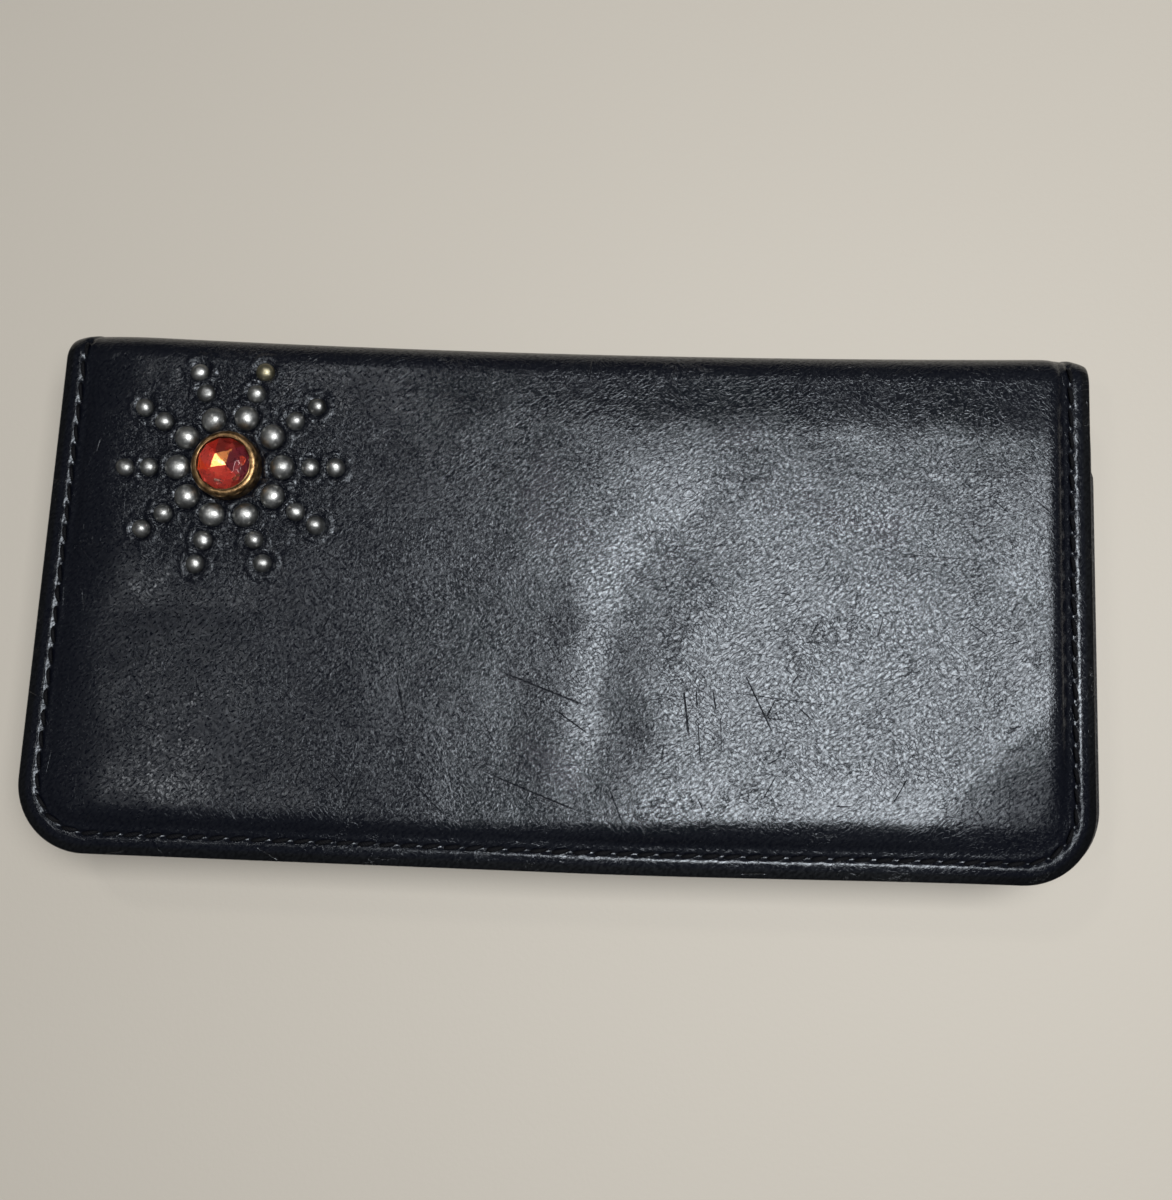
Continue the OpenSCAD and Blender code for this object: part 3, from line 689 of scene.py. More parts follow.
outer_front = make_outer_leather("front_leather_skin", True)
outer_back = make_outer_leather("back_leather_skin", False)
lining_skin = make_lining("lining_skin", rgb(0.018, 0.015, 0.013), rgb(0.04, 0.034, 0.03))
slot_skin = make_lining("slot_skin", rgb(0.016, 0.014, 0.013), rgb(0.034, 0.03, 0.027), "object", 0.5, 0.5)
facing_skin = make_lining("facing_skin", rgb(0.012, 0.011, 0.011), rgb(0.026, 0.023, 0.021), "panel", 0.45, 0.5)
thread_skin = make_thread("thread_skin", rgb(0.003, 0.003, 0.004), rgb(0.009, 0.009, 0.011))
tape_skin = make_weave("tape_skin", rgb(0.008, 0.008, 0.009), rgb(0.03, 0.03, 0.032))
felt_skin = make_felt("felt_skin")
nickel = make_metal("nickel", rgb(0.34, 0.325, 0.30), rgb(0.12, 0.11, 0.095), 0.33, 0.6, relief=0.45)
pewter = make_metal("pewter", rgb(0.50, 0.50, 0.485), rgb(0.085, 0.085, 0.085), 0.36, 0.5, tint=True)
brass = make_metal("aged_brass", rgb(0.40, 0.25, 0.12), rgb(0.12, 0.065, 0.028), 0.3, 0.9)
glass_skin = make_glass("red_glass_skin")
foil_skin = make_foil("foil_skin")


# ---------------------------------------------------------------- sunburst layout

RAY_TURN = (1.3, 1.3, 1.5, 3.0, 2.8, 1.8, 2.3, 3.0, 5.0, 4.3)
LARGE_SHIFT = (0.3, 0.1, 0.0, -0.3, 0.0, -0.2, -0.4, -0.4, 0.0, 0.4)
INNER_SHIFT = (0.2, -0.1, -0.4, -0.1, 0.1, -0.2, -0.4, -0.7, -0.4, 0.3)
OUTER_SHIFT = (0.4, 0.1, -0.4, -0.3, 0.3, -0.2, 0.0, -0.6, -0.2, 0.4)


class Stud:
    def __init__(self, ray, ring, radius, out):
        angle = math.radians(ray * 360 / RAYS + RAY_TURN[ray])
        self.ray, self.ring, self.radius = ray, ring, radius
        self.x = BURST[0] + out * math.cos(angle)
        self.y = BURST[1] + out * math.sin(angle)
        self.seed = ray * 3 + ring


STUDS = []
for ray in range(RAYS):
    STUDS.append(Stud(ray, 0, LARGE_R, RING_LARGE + LARGE_SHIFT[ray]))
    STUDS.append(Stud(ray, 1, SMALL_R, RING_INNER + INNER_SHIFT[ray]))
    STUDS.append(Stud(ray, 2, SMALL_R, RING_OUTER + OUTER_SHIFT[ray]))


# How deep each stud and the setting press in, and how high the leather puckers round a stud
STUD_PRESS, SETTING_PRESS, PUCKER = 0.34, 0.35, 0.13


def burst_relief(plan):
    """Dimples and puckers that the studs and the setting press into the leather."""
    total = np.zeros(len(plan))
    away = np.hypot(*(plan - BURST).T)
    near = away < BURST_REACH + 1
    p = plan[near]
    relief = np.zeros(len(p))
    for stud in STUDS:
        rng = np.random.default_rng(100 + stud.seed)
        dx, dy = p[:, 0] - stud.x, p[:, 1] - stud.y
        r, a = np.hypot(dx, dy) - stud.radius, np.arctan2(dy, dx)
        lumps = sum(rng.uniform(0.3, 1.0) * np.cos(k * a + rng.uniform(0, 6.28)) for k in (1, 2, 3, 5, 7))
        relief -= STUD_PRESS * np.exp(-np.clip(r, 0, None) / 0.32)
        relief += (PUCKER + 0.075 * lumps) * np.exp(-((r - 0.95) / 0.55) ** 2)
        relief -= 0.07 * np.exp(-((r - 1.9) / 0.5) ** 2)
    r = away[near] - PRESS_R
    relief -= SETTING_PRESS * np.exp(-np.clip(r, 0, None) / 0.4)
    fade = smoothstep((BURST_REACH - away[near]) / 8)
    relief += 0.045 * smooth_noise(p, 7, 1.7) * fade
    relief += 0.10 * smooth_noise(p, 8, 5.0) * fade
    total[near] = relief
    return total


# Depth and width of the seam's groove and of the holes in it, and how far the edge beyond it thins down
GROOVE_DEPTH, GROOVE_WIDTH, HOLE_DEPTH, HOLE_R, EDGE_THINS = 0.22, 0.6, 0.34, 0.55, 0.55


def seam_relief(plan, d, holes, inset):
    groove = -GROOVE_DEPTH * np.exp(-((d - inset) / GROOVE_WIDTH) ** 2) + 0.06 * np.exp(-((d - inset + 1.7) / 0.9) ** 2)
    groove += 0.03 * np.exp(-((d - inset - 1.5) / 0.8) ** 2) - EDGE_THINS * np.clip(1 - d / (inset - 0.9), 0, 1)
    close = np.abs(d - inset) < 1.3
    if close.any():
        p = plan[close]
        nearest = np.full(len(p), 9.0)
        for h in holes:
            nearest = np.minimum(nearest, np.hypot(p[:, 0] - h[0], p[:, 1] - h[1]))
        groove[close] -= HOLE_DEPTH * np.exp(-(nearest / HOLE_R) ** 2)
    return groove


def soft_fade(plan, d):
    return smoothstep((d - 4) / 8) * (1 - smoothstep((plan[:, 1] - ROLL_START + 2) / 8))


def cover_relief(seed, holes, inset):
    def relief(plan, d):
        waves = 0.16 * smooth_noise(plan, seed, 42.0) + 0.05 * smooth_noise(plan, seed + 1, 13.0)
        waves += 0.010 * smooth_noise(plan, seed + 2, 3.4, 24)
        waves = waves * soft_fade(plan, d)
        waves += 0.045 * smooth_noise(plan, seed + 3, 3.0) * np.exp(-((d - inset + 1.1) / 0.8) ** 2)
        return waves + seam_relief(plan, d, holes, inset)

    return relief


# ---------------------------------------------------------------- seams of the covers


# The covers' threads, in millimetres: how high the middle stands, how deep the ends dip, and the section's half axes
THREAD_RISE, THREAD_DIP, THREAD_FAT, THREAD_FLAT = 0.30, 0.42, 0.40, 0.27
# Half the gap that a hole leaves between two threads
THREAD_GAP = 0.32


class Seam:
    """Stitch places along the edge of one cover: hole positions on the leather, and the stitches between them."""

    def __init__(self, cx, flare, flip, inset, panel, rise=0.0):
        self.flip = flip
        at, total = seam_path(panel["half_w"], inset, SEAM_END, mouth=panel["mouth"])
        count = int(round(total / STITCH))
        self.holes = []
        for k in range(count + 1):
            x, t, _ = at(k * total / count)
            point = np.array([[x, t]])
            self.holes.append((plan_x(point, cx, flare, half_w=panel["half_w"])[0], plan_y(point, rise)[0]))
        self.holes = np.array(self.holes)

    def stitches(self, name, seed):
        """Tapered threads that dip into the holes at both ends."""
        rng = np.random.default_rng(seed)
        bag = Bag()
        for a, b in zip(self.holes[:-1], self.holes[1:]):
            bag.add(*self.one(a, b, rng))
        obj = bag.mesh(name, thread_skin)
        if self.flip:
            mirror_z(obj)
        return obj

    def one(self, a, b, rng):
        way = b - a
        length = np.hypot(*way)
        way /= length
        side = np.array([-way[1], way[0]])
        slant = rng.uniform(0.22, 0.34)
        u = np.linspace(-1, 1, 9)
        ring = np.linspace(0, 2 * math.pi, 10, endpoint=False)
        half = length / 2 - THREAD_GAP
        middle = (a + b) / 2
        bulge = rng.uniform(0.9, 1.1)
        verts = []
        for k in u:
            lift = THREAD_RISE * (1 - abs(k) ** 3.0) * bulge - THREAD_DIP * abs(k) ** 3.5 - 0.05
            fat = THREAD_FAT * (1 - 0.55 * abs(k) ** 3) * bulge
            flat = THREAD_FLAT * (1 - 0.5 * abs(k) ** 3)
            centre = middle + way * half * k + side * slant * k * 0.9
            for r in ring:
                off = centre + side * fat * math.cos(r)
                verts.append(panel_to_space(np.array([off]), CROWN, lift + flat * math.sin(r))[0])
        return verts, tube_faces(len(u), len(ring))


def mirror_z(obj):
    """Turns a front-half mesh into the back half's."""
    obj.data.transform(Matrix.Translation((0, 0, THICK * MM)) @ Matrix.Diagonal((1, 1, -1, 1)))
    obj.data.flip_normals()


def bend_front(obj):
    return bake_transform(obj)


def bend_back(obj):
    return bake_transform(obj)


front_panel = dict(half_w=HALF_W + (PROUD_LEFT + PROUD_RIGHT) / 2, mouth=MOUTH_Y - PROUD_MOUTH)
FRONT_LEATHER_X = FRONT_X - (PROUD_LEFT - PROUD_RIGHT) / 2
front_seam = Seam(FRONT_LEATHER_X, FLARE, False, FRONT_SEAM, front_panel, MOUTH_RISE)
back_seam = Seam(BACK_X, 0.0, True, SEAM, dict(half_w=HALF_W, mouth=MOUTH_Y))
front_waves = cover_relief(11, front_seam.holes, FRONT_SEAM)
back_waves = cover_relief(21, back_seam.holes, SEAM)


# A soft dent across the middle of the front, in millimetres
DENT = ((7, -30), (8, -16), (9, -4), (12, 4), (17, 11), (25, 18))
DENT_DEPTH, DENT_LEFT_WALL, DENT_RIGHT_WALL = 0.62, 4.5, 11.0


def dent_relief(plan):
    total = np.zeros(len(plan))
    for (x0, y0), (x1, y1) in zip(DENT[:-1], DENT[1:]):
        way = np.array([x1 - x0, y1 - y0], float)
        length = np.hypot(*way)
        way /= length
        along = (plan[:, 0] - x0) * way[0] + (plan[:, 1] - y0) * way[1]
        across = (plan[:, 0] - x0) * way[1] - (plan[:, 1] - y0) * way[0]
        reach = np.exp(-((along - length / 2) / (0.75 * length)) ** 2)
        wall = np.where(across > 0, DENT_RIGHT_WALL, DENT_LEFT_WALL)
        total = np.maximum(total, reach * np.exp(-(across / wall) ** 2))
    return -DENT_DEPTH * total


def front_relief(plan, d):
    return front_waves(plan, d) + burst_relief(plan) + dent_relief(plan)


front_leather = leather_sheet("front_leather", FRONT_LEATHER_X, outer_front, front_relief, grid=burst_grid,
                              flare=FLARE, rise=MOUTH_RISE, width=1.9, **front_panel)
bend_front(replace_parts(front_leather, "front_cover", "spine_leather"))
back_leather = leather_sheet("back_leather", BACK_X, outer_back, back_waves, grid=even_grid(0.75), flip=True)
bend_back(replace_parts(back_leather, "back_cover"))

front_thread = front_seam.stitches("front_cover_stitches", 31)
bend_front(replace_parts(front_thread, "front_stitching"))
back_thread = back_seam.stitches("back_cover_stitches", 32)
bend_back(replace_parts(back_thread, "back_stitching"))


# ---------------------------------------------------------------- studs


def leather_height(x, y):
    """Height of the front leather's surface, without its relief."""
    point = np.array([[x - FRONT_X, y]])
    d = edge_distance(point, HALF_W, CORNER_R)
    return panel_to_space(np.array([[x, y]]), crown_drop(point, d), 0)[0, 2]


# How high a stud stands for its radius, how deep it sits, and where the flat leather under it ends
DOME_SHARE, STUD_SINK, FLAT_END_Y = 0.86, 0.22, 45.9
# Studs that were hammered in lower: their share of the full height. The small ones also lean, in degrees
LARGE_HEIGHT = {5: 0.86, 7: 0.9, 8: 0.96, 3: 0.95}
SMALL_TILT = {(1, 2): (14, -25, 0.9), (3, 1): (6, 0, 0.72), (9, 2): (12, 20, 0.92), (0, 2): (6, 10, 0.96)}


def stud_mesh(stud, bag, low, brassy, dim):
    """A domed stud with a short skirt, hand-set: a little tilted, dented and uneven."""
    rng = np.random.default_rng(500 + stud.seed)
    rise_share = LARGE_HEIGHT.get(stud.ray, 1.0) if stud.ring == 0 else 1.0
    tilt_x, tilt_y = rng.normal(0, 2.6, 2)
    if (stud.ray, stud.ring) in SMALL_TILT:
        tilt_x, tilt_y, rise_share = SMALL_TILT[(stud.ray, stud.ring)]
    r, h = stud.radius * rng.uniform(0.97, 1.02), stud.radius * DOME_SHARE * rise_share
    around, levels = 40, 13
    verts, painted_base_shade = [], []
    phase, squash = rng.uniform(0, 6.28), rng.uniform(0.0, 0.03)
    for i in range(levels + 1):
        a = math.pi / 2 * i / levels
        ring_r, z = r * math.sin(a) ** 0.97, h * math.cos(a)
        for j in range(around):
            b = 2 * math.pi * j / around
            k = ring_r * (1 + squash * math.cos(2 * b + phase))
            verts.append((k * math.cos(b), k * math.sin(b), z))
            # Painted shade: none on the top, growing down the lower flanks to the base.
            painted_base_shade.append(min(1.0, max(0.0, (i / levels - 0.62) / 0.38)) ** 1.5)
    for j in range(around):
        b = 2 * math.pi * j / around
        k = r * 0.97 * (1 + squash * math.cos(2 * b + phase))
        verts.append((k * math.cos(b), k * math.sin(b), -0.75))
        painted_base_shade.append(1.0)
    verts = np.array(verts)
    dents = smooth_noise(verts[:, :2] + (10 * stud.seed, 0), 40 + stud.seed, r * 1.3)
    verts[:, 2] += 0.045 * dents * (verts[:, 2] > 0)
    turn = Matrix.Rotation(math.radians(tilt_x), 3, "X") @ Matrix.Rotation(math.radians(tilt_y), 3, "Y")
    verts = verts @ np.array(turn).T + (stud.x, stud.y, leather_height(stud.x, min(stud.y, FLAT_END_Y)) - STUD_SINK)
    # The top row is one point: it becomes the single last vertex
    verts = np.concatenate([verts[around:], verts[:around].mean(0, keepdims=True)])
    apex = len(verts) - 1
    faces = [[i * around + j, (i + 1) * around + j, (i + 1) * around + (j + 1) % around, i * around + (j + 1) % around]
             for i in range(levels) for j in range(around)]
    faces += [[apex, j, (j + 1) % around] for j in range(around)]
    faces.append([levels * around + j for j in range(around)][::-1])
    bag.add(verts, faces)
    low.extend(painted_base_shade[around:] + [0.0])
    brassy.extend([0.75 if (stud.ray, stud.ring) == (2, 2) else 0.0] * len(verts))
    shade = {(3, 1): 0.7, (1, 2): 0.35, (9, 2): 0.4, (0, 2): 0.3}.get((stud.ray, stud.ring))
    dim.extend([shade if shade is not None else (0.05 if stud.ring == 0 else 0.22)] * len(verts))


def stud_set(name, rings, node):
    bag, low, brassy, dim = Bag(), [], [], []
    for stud in STUDS:
        if stud.ring in rings:
            stud_mesh(stud, bag, low, brassy, dim)
    obj = bag.mesh(name, pewter, sharp=55)
    # low carries the painted shade towards each stud's base.
    point_values(obj, low=low, brassy=brassy, dim=dim)
    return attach(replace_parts(obj, node), "front")


stud_set("large_dome_studs", (0,), "large_studs")
stud_set("small_dome_studs", (1, 2), "small_studs")


# ---------------------------------------------------------------- jewel


def lathe(profile, around, wobble=None):
    """Closed ring or cap turned from (radius, height) points."""
    verts = []
    for i, (r, z) in enumerate(profile):
        for j in range(around):
            b = 2 * math.pi * j / around
            dr, dz = wobble(i, b) if wobble else (0, 0)
            verts.append(((r + dr) * math.cos(b), (r + dr) * math.sin(b), z + dz))
    return np.array(verts), tube_faces(len(profile), around, caps=False)


SETTING_R = (setting_hi[0] - setting_lo[0]) / 2
GLASS_R = 5.2
LIP_Z = setting_hi[2]
GLASS_TOP = 28.42


def bezel():
    """Brass cup, rounded outside, with a thin bright lip that holds the glass."""
    base = THICK - 0.9
    top = LIP_Z
    out = [(SETTING_R - 0.25, base), (SETTING_R - 0.02, base + 0.35), (SETTING_R, base + 1.0)]
    for i in range(9):
        a = math.pi / 2 * i / 8
        out.append((SETTING_R - 0.95 + 0.95 * math.cos(a), top - 1.35 + 1.05 * math.sin(a)))
    out += [(GLASS_R + 0.24, top - 0.3), (GLASS_R + 0.20, top - 0.16)]
    for i in range(7):
        a = math.pi * i / 6
        out.append((GLASS_R + 0.08 + 0.12 * math.cos(a), top - 0.12 + 0.12 * math.sin(a)))
    out += [(GLASS_R - 0.05, top - 0.5), (GLASS_R + 0.06, top - 0.9), (GLASS_R + 0.06, base + 0.9), (0.6, base + 0.8)]
    rng = np.random.default_rng(71)
    phases = rng.uniform(0, 6.28, 6)

    def wobble(i, b):
        if i < 3 or i > 16:
            return 0, 0
        return (0.03 * math.cos(3 * b + phases[0]) + 0.02 * math.cos(7 * b + phases[1]),
                0.03 * math.cos(2 * b + phases[2]) + 0.015 * math.cos(9 * b + phases[3]))

    verts, faces = lathe(out, 96, wobble)
    n = len(out) - 1
    faces.append([n * 96 + j for j in range(96)])
    faces.append(list(range(96))[::-1])
    verts += (*BURST, 0)
    obj = new_mesh("jewel_bezel", verts, faces, brass, sharp=60)
    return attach(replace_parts(obj, "jewel_setting"), "front")


INNER_FACETS = 6
OUTER_FACETS = 12
FACET_TURN = math.radians(14)


def rose_points(r, z, count, turn=0):
    """One ring of a rose cut."""
    angles = FACET_TURN + turn + np.arange(count) * 2 * math.pi / count
    return [(r * math.cos(a), r * math.sin(a), z) for a in angles]


def gem_glass():
    """Rose-cut glass: facets that meet in a low point, over a pavilion that the foil lines."""
    top, rim, base = GLASS_TOP, LIP_Z - 0.5, THICK + 0.75
    inner, outer = 3.0, GLASS_R - 0.08
    verts = [(0, 0, top)]
    verts += rose_points(inner, top - 0.22, INNER_FACETS)
    verts += rose_points(outer, rim, OUTER_FACETS)
    verts += rose_points(outer, rim - 0.55, OUTER_FACETS)
    verts += rose_points(inner, base + 0.55, INNER_FACETS, math.pi / INNER_FACETS)
    verts += [(0, 0, base)]
    i0, o0, g0, p0 = 1, 1 + INNER_FACETS, 1 + INNER_FACETS + OUTER_FACETS, 1 + INNER_FACETS + 2 * OUTER_FACETS
    end = p0 + INNER_FACETS
    faces = []
    for k in range(INNER_FACETS):
        a, b = i0 + k, i0 + (k + 1) % INNER_FACETS
        o = [o0 + (2 * k + s) % OUTER_FACETS for s in range(3)]
        g = [g0 + (2 * k + s) % OUTER_FACETS for s in range(3)]
        p = p0 + k
        q = p0 + (k - 1) % INNER_FACETS
        faces += [[0, a, b], [a, o[0], o[1]], [a, o[1], b], [b, o[1], o[2]]]
        faces += [[o[0], g[0], g[1], o[1]], [o[1], g[1], g[2], o[2]]]
        faces += [[g[0], q, p], [g[0], p, g[1]], [g[1], p, g[2]], [p, q, end]]
    verts = np.array(verts) + (*BURST, 0)
    obj = new_mesh("jewel_rose_glass", verts, faces, glass_skin, smooth=False)
    bevel = obj.modifiers.new("soft_edges", "BEVEL")
    bevel.width, bevel.segments, bevel.limit_method = 0.03 * MM, 2, "ANGLE"
    bevel.angle_limit = math.radians(5)
    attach(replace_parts(obj, "jewel_glass"), "front")
    return base


# Painted light and shade for the foil's panels: the yellow hue is a painted highlight, the dark and plum hues are
# painted shade, and the reds lie between them.
PAINTED_FACET_LIGHT = {
    "painted_glint": rgb(1.0, 0.80, 0.30), "orange": rgb(1.0, 0.13, 0.03), "coral": rgb(0.85, 0.12, 0.10),
    "red": rgb(0.5, 0.03, 0.02), "dark": rgb(0.16, 0.008, 0.012), "plum": rgb(0.20, 0.02, 0.09),
}


def gem_foil(base):
    """Foil cup that lines the back of the glass, in flat panels whose colours paint the facets' highlights and shade.
    """
    # Which panels round the cup carry the painted highlight and which the painted shade.
    names_inner = ["plum", "painted_glint", "painted_glint", "coral", "coral", "plum"]
    names_outer = ["plum", "dark", "dark", "red", "coral", "orange", "coral", "coral", "coral", "red", "plum", "plum"]
    rim = LIP_Z - 0.9
    inner = 2.75
    verts, faces, hues = [], [], []

    def panel(corners, hue):
        start = len(verts)
        verts.extend(corners)
        faces.append(list(range(start, start + len(corners))))
        hues.extend([PAINTED_FACET_LIGHT[hue]] * len(corners))

    low = rose_points(inner, base + 0.42, INNER_FACETS)
    high = rose_points(GLASS_R - 0.12, rim, OUTER_FACETS)
    for k in range(INNER_FACETS):
        a, b = low[k], low[(k + 1) % INNER_FACETS]
        o = [high[(2 * k + s) % OUTER_FACETS] for s in range(3)]
        panel([(0, 0, base - 0.1), a, b], names_inner[k])
        panel([a, o[0], o[1]], names_outer[2 * k])
        panel([a, o[1], b], names_outer[2 * k])
        panel([b, o[1], o[2]], names_outer[2 * k + 1])
    verts = np.array(verts) + (*BURST, 0)
    obj = new_mesh("jewel_foil_cup", verts, faces, foil_skin, smooth=False)
    layer = obj.data.attributes.new("painted_facet_shading", "FLOAT_COLOR", "POINT")
    layer.data.foreach_set("color", np.array(hues, np.float32).ravel())
    solid = obj.modifiers.new("thickness", "SOLIDIFY")
    solid.thickness, solid.offset = 0.08 * MM, -1
    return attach(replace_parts(obj, "jewel_foil"), "front")


bezel()
gem_foil(gem_glass())


# ---------------------------------------------------------------- padding and linings

INNER_X = BACK_X
# How far the pads stay inside the covers, their corners and where they end towards the fold
PAD_INSET, PAD_CORNER, PAD_TOP = 5.5, 8.5, 44.6
PAD_LEVELS = np.array([0, 0.1, 0.3, 0.7, 1.3, 2.2, 3.4, 5.0, 6.6, 8.5])
LINING_LEVELS = np.array([0, 0.1, 0.25, 0.5, 0.9, 1.5, 2.4, 3.6, 5.2, 7.3])


def pad(name, node, cx, body, flip):
    """Foam between a cover and its lining: crowned, thin at the border, flat where the lining holds it."""
    half_w, mouth, corner_r, top = HALF_W - PAD_INSET, MOUTH_Y + PAD_INSET, PAD_CORNER, PAD_TOP
    xs = np.linspace(-(half_w - corner_r), half_w - corner_r, 70)
    points, faces = panel_points(half_w, corner_r, mouth, PAD_LEVELS, xs, np.linspace(mouth + corner_r, top, 36))
    d = np.minimum(edge_distance(points, half_w, corner_r, mouth), top - points[:, 1])
    under_cover = THICK - LEATHER - crown_drop(points, edge_distance(points, HALF_W, CORNER_R)) - 0.08
    foam = 0.05 * smooth_noise(points, 91, 3.0) - 0.05
    low = np.full(len(points), THICK - LEATHER - CROWN + 0.03)
    high = np.maximum(under_cover + foam, low + 0.1)
    turn = edge_round(d, 0.5, 1.2) * (high - low)
    high, low = high - turn, low + turn
    on_edge = d < 1e-4
    high[on_edge] = low[on_edge] = (high[on_edge] + low[on_edge]) / 2
    x, y = points[:, 0] + cx, points[:, 1]
    verts, faces, _ = close_sheet(columns(x, y, high), columns(x, y, low), faces, on_edge)
    obj = new_mesh(name, verts, faces, felt_skin)
    if flip:
        mirror_z(obj)
    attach(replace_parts(obj, node), body)


pad("front_foam_pad", "front_padding", FRONT_X, "front", False)
pad("back_foam_pad", "back_padding", BACK_X, "back", True)

LINING_HALF_W, LINING_MOUTH, LINING_CORNER = 93.3, -43.3, 7.3
LINING_Z = THICK - LEATHER - CROWN
LINING_ROLL, LINING_T = 4.0, 0.8
LINING_ROLL_Y = SPINE_Y - 2.05 - LINING_ROLL


def lining(name, seed, flip, nodes, bend):
    """Thin leather that lines one half, from its zip round to the middle of the spine."""

    def relief(plan, d):
        waves = 0.05 * smooth_noise(plan, seed, 17.0) - 0.05 + 0.02 * smooth_noise(plan, seed + 1, 5.0)
        return waves * smoothstep(d / 3)

    obj = leather_sheet(name, INNER_X, lining_skin, relief, LINING_HALF_W, LINING_CORNER, even_grid(1.3), LINING_T,
                        LINING_LEVELS, False, LINING_ROLL, LINING_ROLL_Y, LINING_Z, LINING_MOUTH,
                        0.35, flip)
    bend(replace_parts(obj, *nodes))
    return obj


lining("front_lining_leather", 61, False, ["front_lining", "spine_lining"], bend_front)
lining("back_lining_leather", 62, True, ["back_lining"], bend_back)


# ---------------------------------------------------------------- the zip's border: facings and tapes

ZIP_TOP = 36.0


def rim_sweep(name, section, material, shape, ends=0.0, step=1.4):
    """Sweeps a closed section of (inset, height) round the three open edges; the UV map follows the strip."""
    at, total = seam_path(HALF_W, 0.0, ZIP_TOP)
    section = np.array(section, float)
    along = np.linspace(0, total, int(total / step) + 1)
    if ends:
        near = ends * np.array([0, 0.03, 0.08, 0.16, 0.27, 0.4, 0.55, 0.72])
        along = np.unique(np.concatenate([along, near, total - near]))
    across = run_lengths(section)
    verts, uv = [], []
    for s in along:
        x, y, heading = at(s)
        part = shape(section.copy(), min(s, total - s)) if shape else section
        nx, ny = -math.sin(heading), math.cos(heading)
        for (inset, z), v in zip(part, across):
            verts.append((x + INNER_X + nx * inset, y + ny * inset, z))
            uv.append((s, v))
    return new_mesh(name, verts, tube_faces(len(along), len(section)), material, uv=np.array(uv), sharp=50)


def arc(cx, cz, r, start, end, count):
    """Points of an arc, in degrees, in a section's plane."""
    angles = np.radians(np.linspace(start, end, count))
    return [(cx + r * math.cos(a), cz + r * math.sin(a)) for a in angles]


FACING = ([(5.2, 4.62)] + arc(5.6, 4.98, 0.36, -90, 0, 5) + arc(5.6, 5.42, 0.36, 15, 90, 5)
          + [(5.25, 5.74), (4.95, 5.62), (4.7, 5.58), (4.45, 5.62), (4.15, 5.74), (3.2, 5.80), (2.0, 5.80), (1.2, 5.74)]
          + arc(0.7, 5.2, 0.58, 100, 260, 9) + [(1.4, 4.62), (3.2, 4.62)])[::-1]


def taper(part, s):
    """The facing's ends narrow and thin down where they tuck under the fold."""
    u = 1 - smoothstep(s / 9.0)
    part[:, 0] = part[:, 0] + (5.0 - part[:, 0]) * 0.8 * u
    part[:, 1] = 4.9 + (part[:, 1] - 4.9) * (1 - 0.5 * (1 - smoothstep(s / 5.0)))
    return part


def tuck(part, s):
    """The tape's ends are cut on a slant."""
    u = 1 - smoothstep(s / 3.5)
    part[:, 1] = 4.3 + (part[:, 1] - 4.3) * (1 - 0.75 * u)
    return part


TAPE_T = 0.46
TAPE_LINE = [(0.9, 4.3), (3.2, 4.3), (5.3, 4.3)] + arc(5.5, 5.1, 0.8, -80, -5, 6) + [
    (6.3, 5.9), (6.3, 7.0), (6.3, 8.2), (6.3, 9.4), (6.3, 10.55)]


def strip_section(line, thick):
    """A closed outline at half the thickness on both sides of an open line."""
    line = np.array(line, float)
    way = np.gradient(line, axis=0)
    way /= np.hypot(*way.T)[:, None]
    side = columns(-way[:, 1], way[:, 0]) * thick / 2
    return np.concatenate([line + side, (line - side)[::-1]])[::-1]


def rim_pieces(half, body, flip):
    facing = rim_sweep(half + "_facing_leather", FACING, facing_skin, taper, ends=10.0)
    tape = rim_sweep(half + "_woven_tape", strip_section(TAPE_LINE, TAPE_T), tape_skin, tuck, ends=4.0)
    thread = facing_stitches(half + "_facing_stitches")
    for obj in (facing, tape, thread):
        if flip:
            mirror_z(obj)
    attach(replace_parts(facing, half + "_zip_facing"), body)
    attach(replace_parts(tape, half + "_zip_hem", half + "_zip_tape"), body)
    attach(thread, body)
    length = seam_path(HALF_W, 4.0, ZIP_TOP)[1]


# The same for the thinner threads inside, and how far they slant across the seam
FINE_RISE, FINE_DIP, FINE_GAP, FINE_SLANT = 0.12, 0.28, 0.22, 0.18


def thread_stitch(a, b, rng, fat):
    """One tapered thread between two points, lying on a face that looks up."""
    a, b = np.array(a, float), np.array(b, float)
    way = b - a
    length = np.linalg.norm(way)
    way /= length
    side = np.array([-way[1], way[0], 0.0])
    u = np.linspace(-1, 1, 7)
    ring = np.linspace(0, 2 * math.pi, 8, endpoint=False)
    bulge = rng.uniform(0.9, 1.1)
    middle, half = (a + b) / 2, length / 2 - FINE_GAP
    rows = []
    for k in u:
        shrink = 1 - 0.55 * abs(k) ** 3
        lift = FINE_RISE * (1 - abs(k) ** 3) * bulge - FINE_DIP * abs(k) ** 3.5
        centre = middle + way * half * k + side * FINE_SLANT * k + np.array([0, 0, lift])
        wide = side[None, :] * (fat * shrink * bulge * np.cos(ring))[:, None]
        tall = np.array([0, 0, 1.0])[None, :] * (0.7 * fat * shrink * np.sin(ring))[:, None]
        rows.append(centre + wide + tall)
    return np.concatenate(rows), tube_faces(len(u), len(ring))


def thread_run(bag, places, rng, fat=0.22):
    for a, b in zip(places[:-1], places[1:]):
        bag.add(*thread_stitch(a, b, rng, fat))


# The thread on the zip's facing: distance from the edge, pitch and height
FACING_SEAM, FACING_STITCH, FACING_TOP = 4.7, 3.2, 5.62


def facing_stitches(name):
    at, total = seam_path(HALF_W, FACING_SEAM, ZIP_TOP - 1.5)
    count = int(round(total / FACING_STITCH))
    places = []
    for k in range(count + 1):
        x, y, _ = at(k * total / count)
        places.append((x + INNER_X, y, FACING_TOP))
    bag = Bag()
    thread_run(bag, places, np.random.default_rng(81), fat=0.24)
    return bag.mesh(name, thread_skin)


rim_pieces("back", "back", False)
rim_pieces("front", "front", True)


# ---------------------------------------------------------------- card panels and slots

